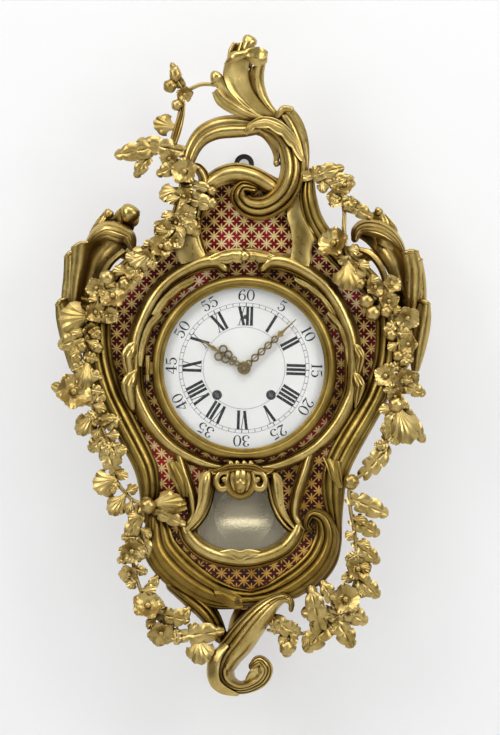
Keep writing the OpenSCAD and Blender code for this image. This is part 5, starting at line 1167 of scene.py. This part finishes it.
# Dial figures: fired black on the enamel
DIAL_FACE = 86
DIAL_LEAN = -2.0       # the dial sits a little clockwise
FIGURE_T = 0.14
HOUR_R, MINUTE_R = 52, 73
HOUR_RING, TRACK_IN, TRACK_OUT = 41, 61.8, 65.2
LINE, TICK, TICK_FIVE, TICK_R = 0.3, 0.5, 0.8, 63.5


def pen(marks, steps=6):
    """A pen stroke along a curve through the marks (x, y, width), flat on the dial."""
    way = smooth_way([(x, y, 0, width) for x, y, width in marks], steps)
    frames = frames_along(way)
    rows = len(way) - 1
    piece = sheet_grid(1, rows)

    def place_on(across, along):
        k = round(along * rows)
        place, ahead, right, out = frames[k]
        return place + right * (across - 0.5) * way[k][3]

    shape(piece, place_on)
    return piece


def stroke(foot, head, width):
    return pen([(*foot, width), (*head, width)], 1)


def ring_line(r, width):
    piece = sheet_grid(1, LINE_STEPS)

    def place_on(across, along):
        turn = 2 * pi * round(along * LINE_STEPS) / LINE_STEPS
        far = r + (across - 0.5) * width
        return Vector((far * cos(turn), far * sin(turn), 0))

    shape(piece, place_on)
    return tidy(piece)


# Roman letters: width, strokes from end to end with their thickness, and the ends that take a serif.
# An end is its place across and -1 for the foot or 1 for the head.
HOUR_HIGH, MINUTE_HIGH = 18.4, 11.3
THICK, THIN = 2.9, 0.7
SERIF_REACH, SERIF = 1.9, 0.45
ROMAN = {
    "I": (4.1, [((1.9, -1), (1.9, 1), THICK)], [(1.9, -1), (1.9, 1)]),
    "V": (7.9, [((1.4, 1), (4.0, -1), THICK), ((6.6, 1), (4.2, -1), THIN)], [(1.4, 1), (6.6, 1)]),
    "X": (7.9, [((1.4, 1), (6.4, -1), THICK), ((6.4, 1), (1.4, -1), THIN)],
        [(1.4, 1), (6.4, 1), (1.4, -1), (6.4, -1)])}


def numeral(letters):
    """A Roman hour figure with fine serifs, its feet towards the dial's centre."""
    half = HOUR_HIGH / 2
    strokes, x = [], 0.0
    for letter in letters:
        width, lines, serifs = ROMAN[letter]
        lines = lines + [((at - SERIF_REACH, end), (at + SERIF_REACH, end), SERIF) for at, end in serifs]
        for (x1, end1), (x2, end2), thick in lines:
            strokes.append(stroke((x + x1, half * end1), (x + x2, half * end2), thick))
        x += width
    piece = join(strokes)
    piece.data.transform(Matrix.Translation((-x / 2, 0, 0)))
    return piece


def bowl(x, y, across, high, thick=0.16, thin=0.045):
    """A closed round stroke, heavy at its sides and fine at top and foot."""
    marks = []
    for k in range(9):
        turn = radians(45 * k)
        wide = thin + (thick - thin) * cos(turn) ** 2
        marks.append((x + across * cos(turn), y + high * sin(turn), wide))
    return marks


def drop(x, y, r=0.08):
    return bowl(x, y, r / 2, r / 2, r, r)


# Minute figures, one unit high: each is its width and its pen strokes of (x, y, width).
DIGITS = {
    "0": (0.76, [bowl(0.38, 0.5, 0.29, 0.47)]),
    "1": (0.60, [[(0.32, 0.02, 0.16), (0.32, 0.98, 0.16)], [(0.32, 0.96, 0.05), (0.13, 0.83, 0.05)],
        [(0.12, 0.02, 0.045), (0.52, 0.02, 0.045)]]),
    "2": (0.78, [drop(0.16, 0.77), [(0.10, 0.77, 0.05), (0.17, 0.92, 0.05), (0.36, 0.97, 0.06),
        (0.57, 0.87, 0.13), (0.59, 0.67, 0.15), (0.42, 0.40, 0.09), (0.21, 0.18, 0.05), (0.07, 0.05, 0.04)],
        [(0.07, 0.05, 0.05), (0.25, 0.10, 0.12), (0.46, 0.06, 0.13), (0.65, 0.10, 0.06),
         (0.70, 0.24, 0.03)]]),
    "3": (0.76, [drop(0.16, 0.81), drop(0.14, 0.19), [(0.10, 0.81, 0.05), (0.19, 0.93, 0.05),
        (0.36, 0.97, 0.06), (0.54, 0.86, 0.13), (0.54, 0.68, 0.13), (0.40, 0.55, 0.05), (0.28, 0.53, 0.04)],
        [(0.28, 0.53, 0.04), (0.45, 0.52, 0.06), (0.61, 0.40, 0.14), (0.61, 0.18, 0.15), (0.43, 0.03, 0.07),
         (0.23, 0.03, 0.05), (0.08, 0.17, 0.05)]]),
    "4": (0.80, [[(0.50, 0.97, 0.05), (0.05, 0.28, 0.05)], [(0.04, 0.27, 0.06), (0.74, 0.27, 0.06)],
        [(0.52, 0.98, 0.16), (0.52, 0.02, 0.16)], [(0.34, 0.02, 0.045), (0.70, 0.02, 0.045)]]),
    "5": (0.76, [drop(0.14, 0.16), [(0.14, 0.93, 0.09), (0.34, 0.90, 0.12), (0.58, 0.96, 0.06)],
        [(0.14, 0.95, 0.045), (0.11, 0.52, 0.045)], [(0.11, 0.52, 0.04), (0.30, 0.62, 0.05),
         (0.51, 0.55, 0.10), (0.61, 0.33, 0.16), (0.51, 0.11, 0.10), (0.30, 0.03, 0.05),
         (0.09, 0.13, 0.05)]]),
    "6": (0.76, [bowl(0.38, 0.31, 0.27, 0.28), drop(0.55, 0.87), [(0.11, 0.31, 0.15), (0.15, 0.62, 0.13),
        (0.32, 0.89, 0.07), (0.50, 0.96, 0.045), (0.59, 0.90, 0.05)]])}


def minute_figure(text):
    """An Arabic figure of thick and thin pen strokes with drops at their ends."""
    strokes, x = [], 0.0
    for digit in text:
        width, lines = DIGITS[digit]
        for line in lines:
            marks = [(x + px, py - 0.5, wide) for px, py, wide in line]
            strokes.append(pen([[MINUTE_HIGH * value for value in mark] for mark in marks]))
        x += width
    piece = join(strokes)
    piece.data.transform(Matrix.Translation((-MINUTE_HIGH * x / 2, 0, 0)))
    return piece


def set_round(piece, r, turn):
    """Sets a figure out at its radius, with its feet to the centre."""
    piece.data.transform(turn_by(-turn + DIAL_LEAN, "Z") @ Matrix.Translation((0, r, 0)))
    return piece


figures = []
for hour, letters in enumerate(("XII", "I", "II", "III", "IIII", "V", "VI", "VII", "VIII", "IX", "X", "XI")):
    figures.append(set_round(numeral(letters), HOUR_R, 30 * hour))
    figures.append(set_round(minute_figure(str(5 * hour or 60)), MINUTE_R, 30 * hour))
figures += [ring_line(r, LINE) for r in (HOUR_RING, TRACK_IN, TRACK_OUT)]
for minute in range(60):
    tick = stroke((0, -1.7), (0, 1.7), TICK if minute % 5 else TICK_FIVE)
    figures.append(set_round(tick, TICK_R, 6 * minute))
figures = join(figures)
thicken(figures, FIGURE_T, 1.0)
figures.data.transform(Matrix.Translation((0, -DIAL_DROP, DIAL_FACE)))
tidy(figures, 1e-5)
hand_over(figures, "dial_figures", black_enamel, "case")


# Hands: pierced and gilt, drawn pointing to twelve and then turned to the hour
HAND = [(-.5, 0), (-.5, .6), (-.32, 1), (.32, 1), (.5, .6), (.5, 0)]


def wire(points, level, width, high=1.1, steps=5):
    return cast([(x, y, level, width, high) for x, y in points], HAND, steps=steps, ends=(0.4, 0.4),
        set_out=False)


def eyelet(x, y, r, level, width):
    turns = [radians(turn) for turn in range(0, 361, 30)]
    return wire([(x + r * sin(turn), y + r * cos(turn)) for turn in turns], level, width, steps=3)


def point_to(parts, turn):
    hand = join(parts)
    hand.data.transform(Matrix.Translation((0, -DIAL_DROP, 0)) @ turn_by(-turn, "Z"))
    return hand


HOUR_LEVEL, MINUTE_LEVEL = 88, 89.9
HOUR_AT, MINUTE_AT = 303, 47   # degrees round from twelve
parts = [eyelet(0, 0, 4.6, MINUTE_LEVEL, 2.4), eyelet(0, 0, 2.4, MINUTE_LEVEL, 2.2)]
for side in (-1, 1):
    weave = [(side * (3.5 - 0.02 * far) * cos(pi * far / 9), 6 + far) for far in range(0, 46, 3)]
    parts.append(wire(weave, MINUTE_LEVEL, 1.8))
parts += [
    wire([(0, 5), (0, 52)], MINUTE_LEVEL, 1.0, 0.7),
    cast([(0, 44, MINUTE_LEVEL, 2.0, 1.1), (0, 49, MINUTE_LEVEL, 4.6, 1.2), (0, 56, MINUTE_LEVEL, 2.2, 1.1),
        (0, 71, MINUTE_LEVEL, 0.8, 0.8)], HAND, ends=(0.4, 1.0), set_out=False)]
hand_over(point_to(parts, MINUTE_AT), "minute_hand_pierced", gilt_hands, "minute_arbor",
    ["minute_hand"])
parts = [
    eyelet(0, 0, 5.2, HOUR_LEVEL, 3.0),
    eyelet(0, 8.5, 2.3, HOUR_LEVEL, 1.5),
    eyelet(-2.6, 13, 1.9, HOUR_LEVEL, 1.3),
    eyelet(2.6, 13, 1.9, HOUR_LEVEL, 1.3),
    wire([(0, 9), (0, 40)], HOUR_LEVEL, 1.6)]
parts += [eyelet(4.9 * sin(turn), 25 + 5.2 * cos(turn), 3.7, HOUR_LEVEL, 1.9)
          for turn in map(radians, (60, 150, 210, 300))]
parts += [
    eyelet(0, 25, 2.2, HOUR_LEVEL, 1.6),
    cast([(0, 32, HOUR_LEVEL, 2.0, 1.1), (0, 37, HOUR_LEVEL, 4.6, 1.2), (0, 42, HOUR_LEVEL, 2.2, 1.1),
        (0, 50, HOUR_LEVEL, 0.9, 0.8)], HAND, ends=(0.4, 1.0), set_out=False)]
hand_over(point_to(parts, HOUR_AT), "hour_hand_pierced", gilt_hands, "hour_pipe",
    ["hour_hand"])


# The rest of the frame keeps its CAD shape and takes its finish.
FINISH_OF = {"oak": oak, "inlay_panel": inlay, "gilt_bronze": gilt_bronze, "gilt_hands": gilt_hands,
             "glass": dial_glass, "enamel": white_enamel, "iron": iron, "steel": steel, "brass": brass,
             "bob_brass": bob_brass, "bell_metal": bell_metal}
for row in frame["record"]["subparts"]:
    node = frame["nodes"][row["node"]]
    node.data.materials.clear()
    node.data.materials.append(
        window_pane if row["node"] == "window_glass" else FINISH_OF[row["material_slot"]])

bpy.context.view_layer.update()
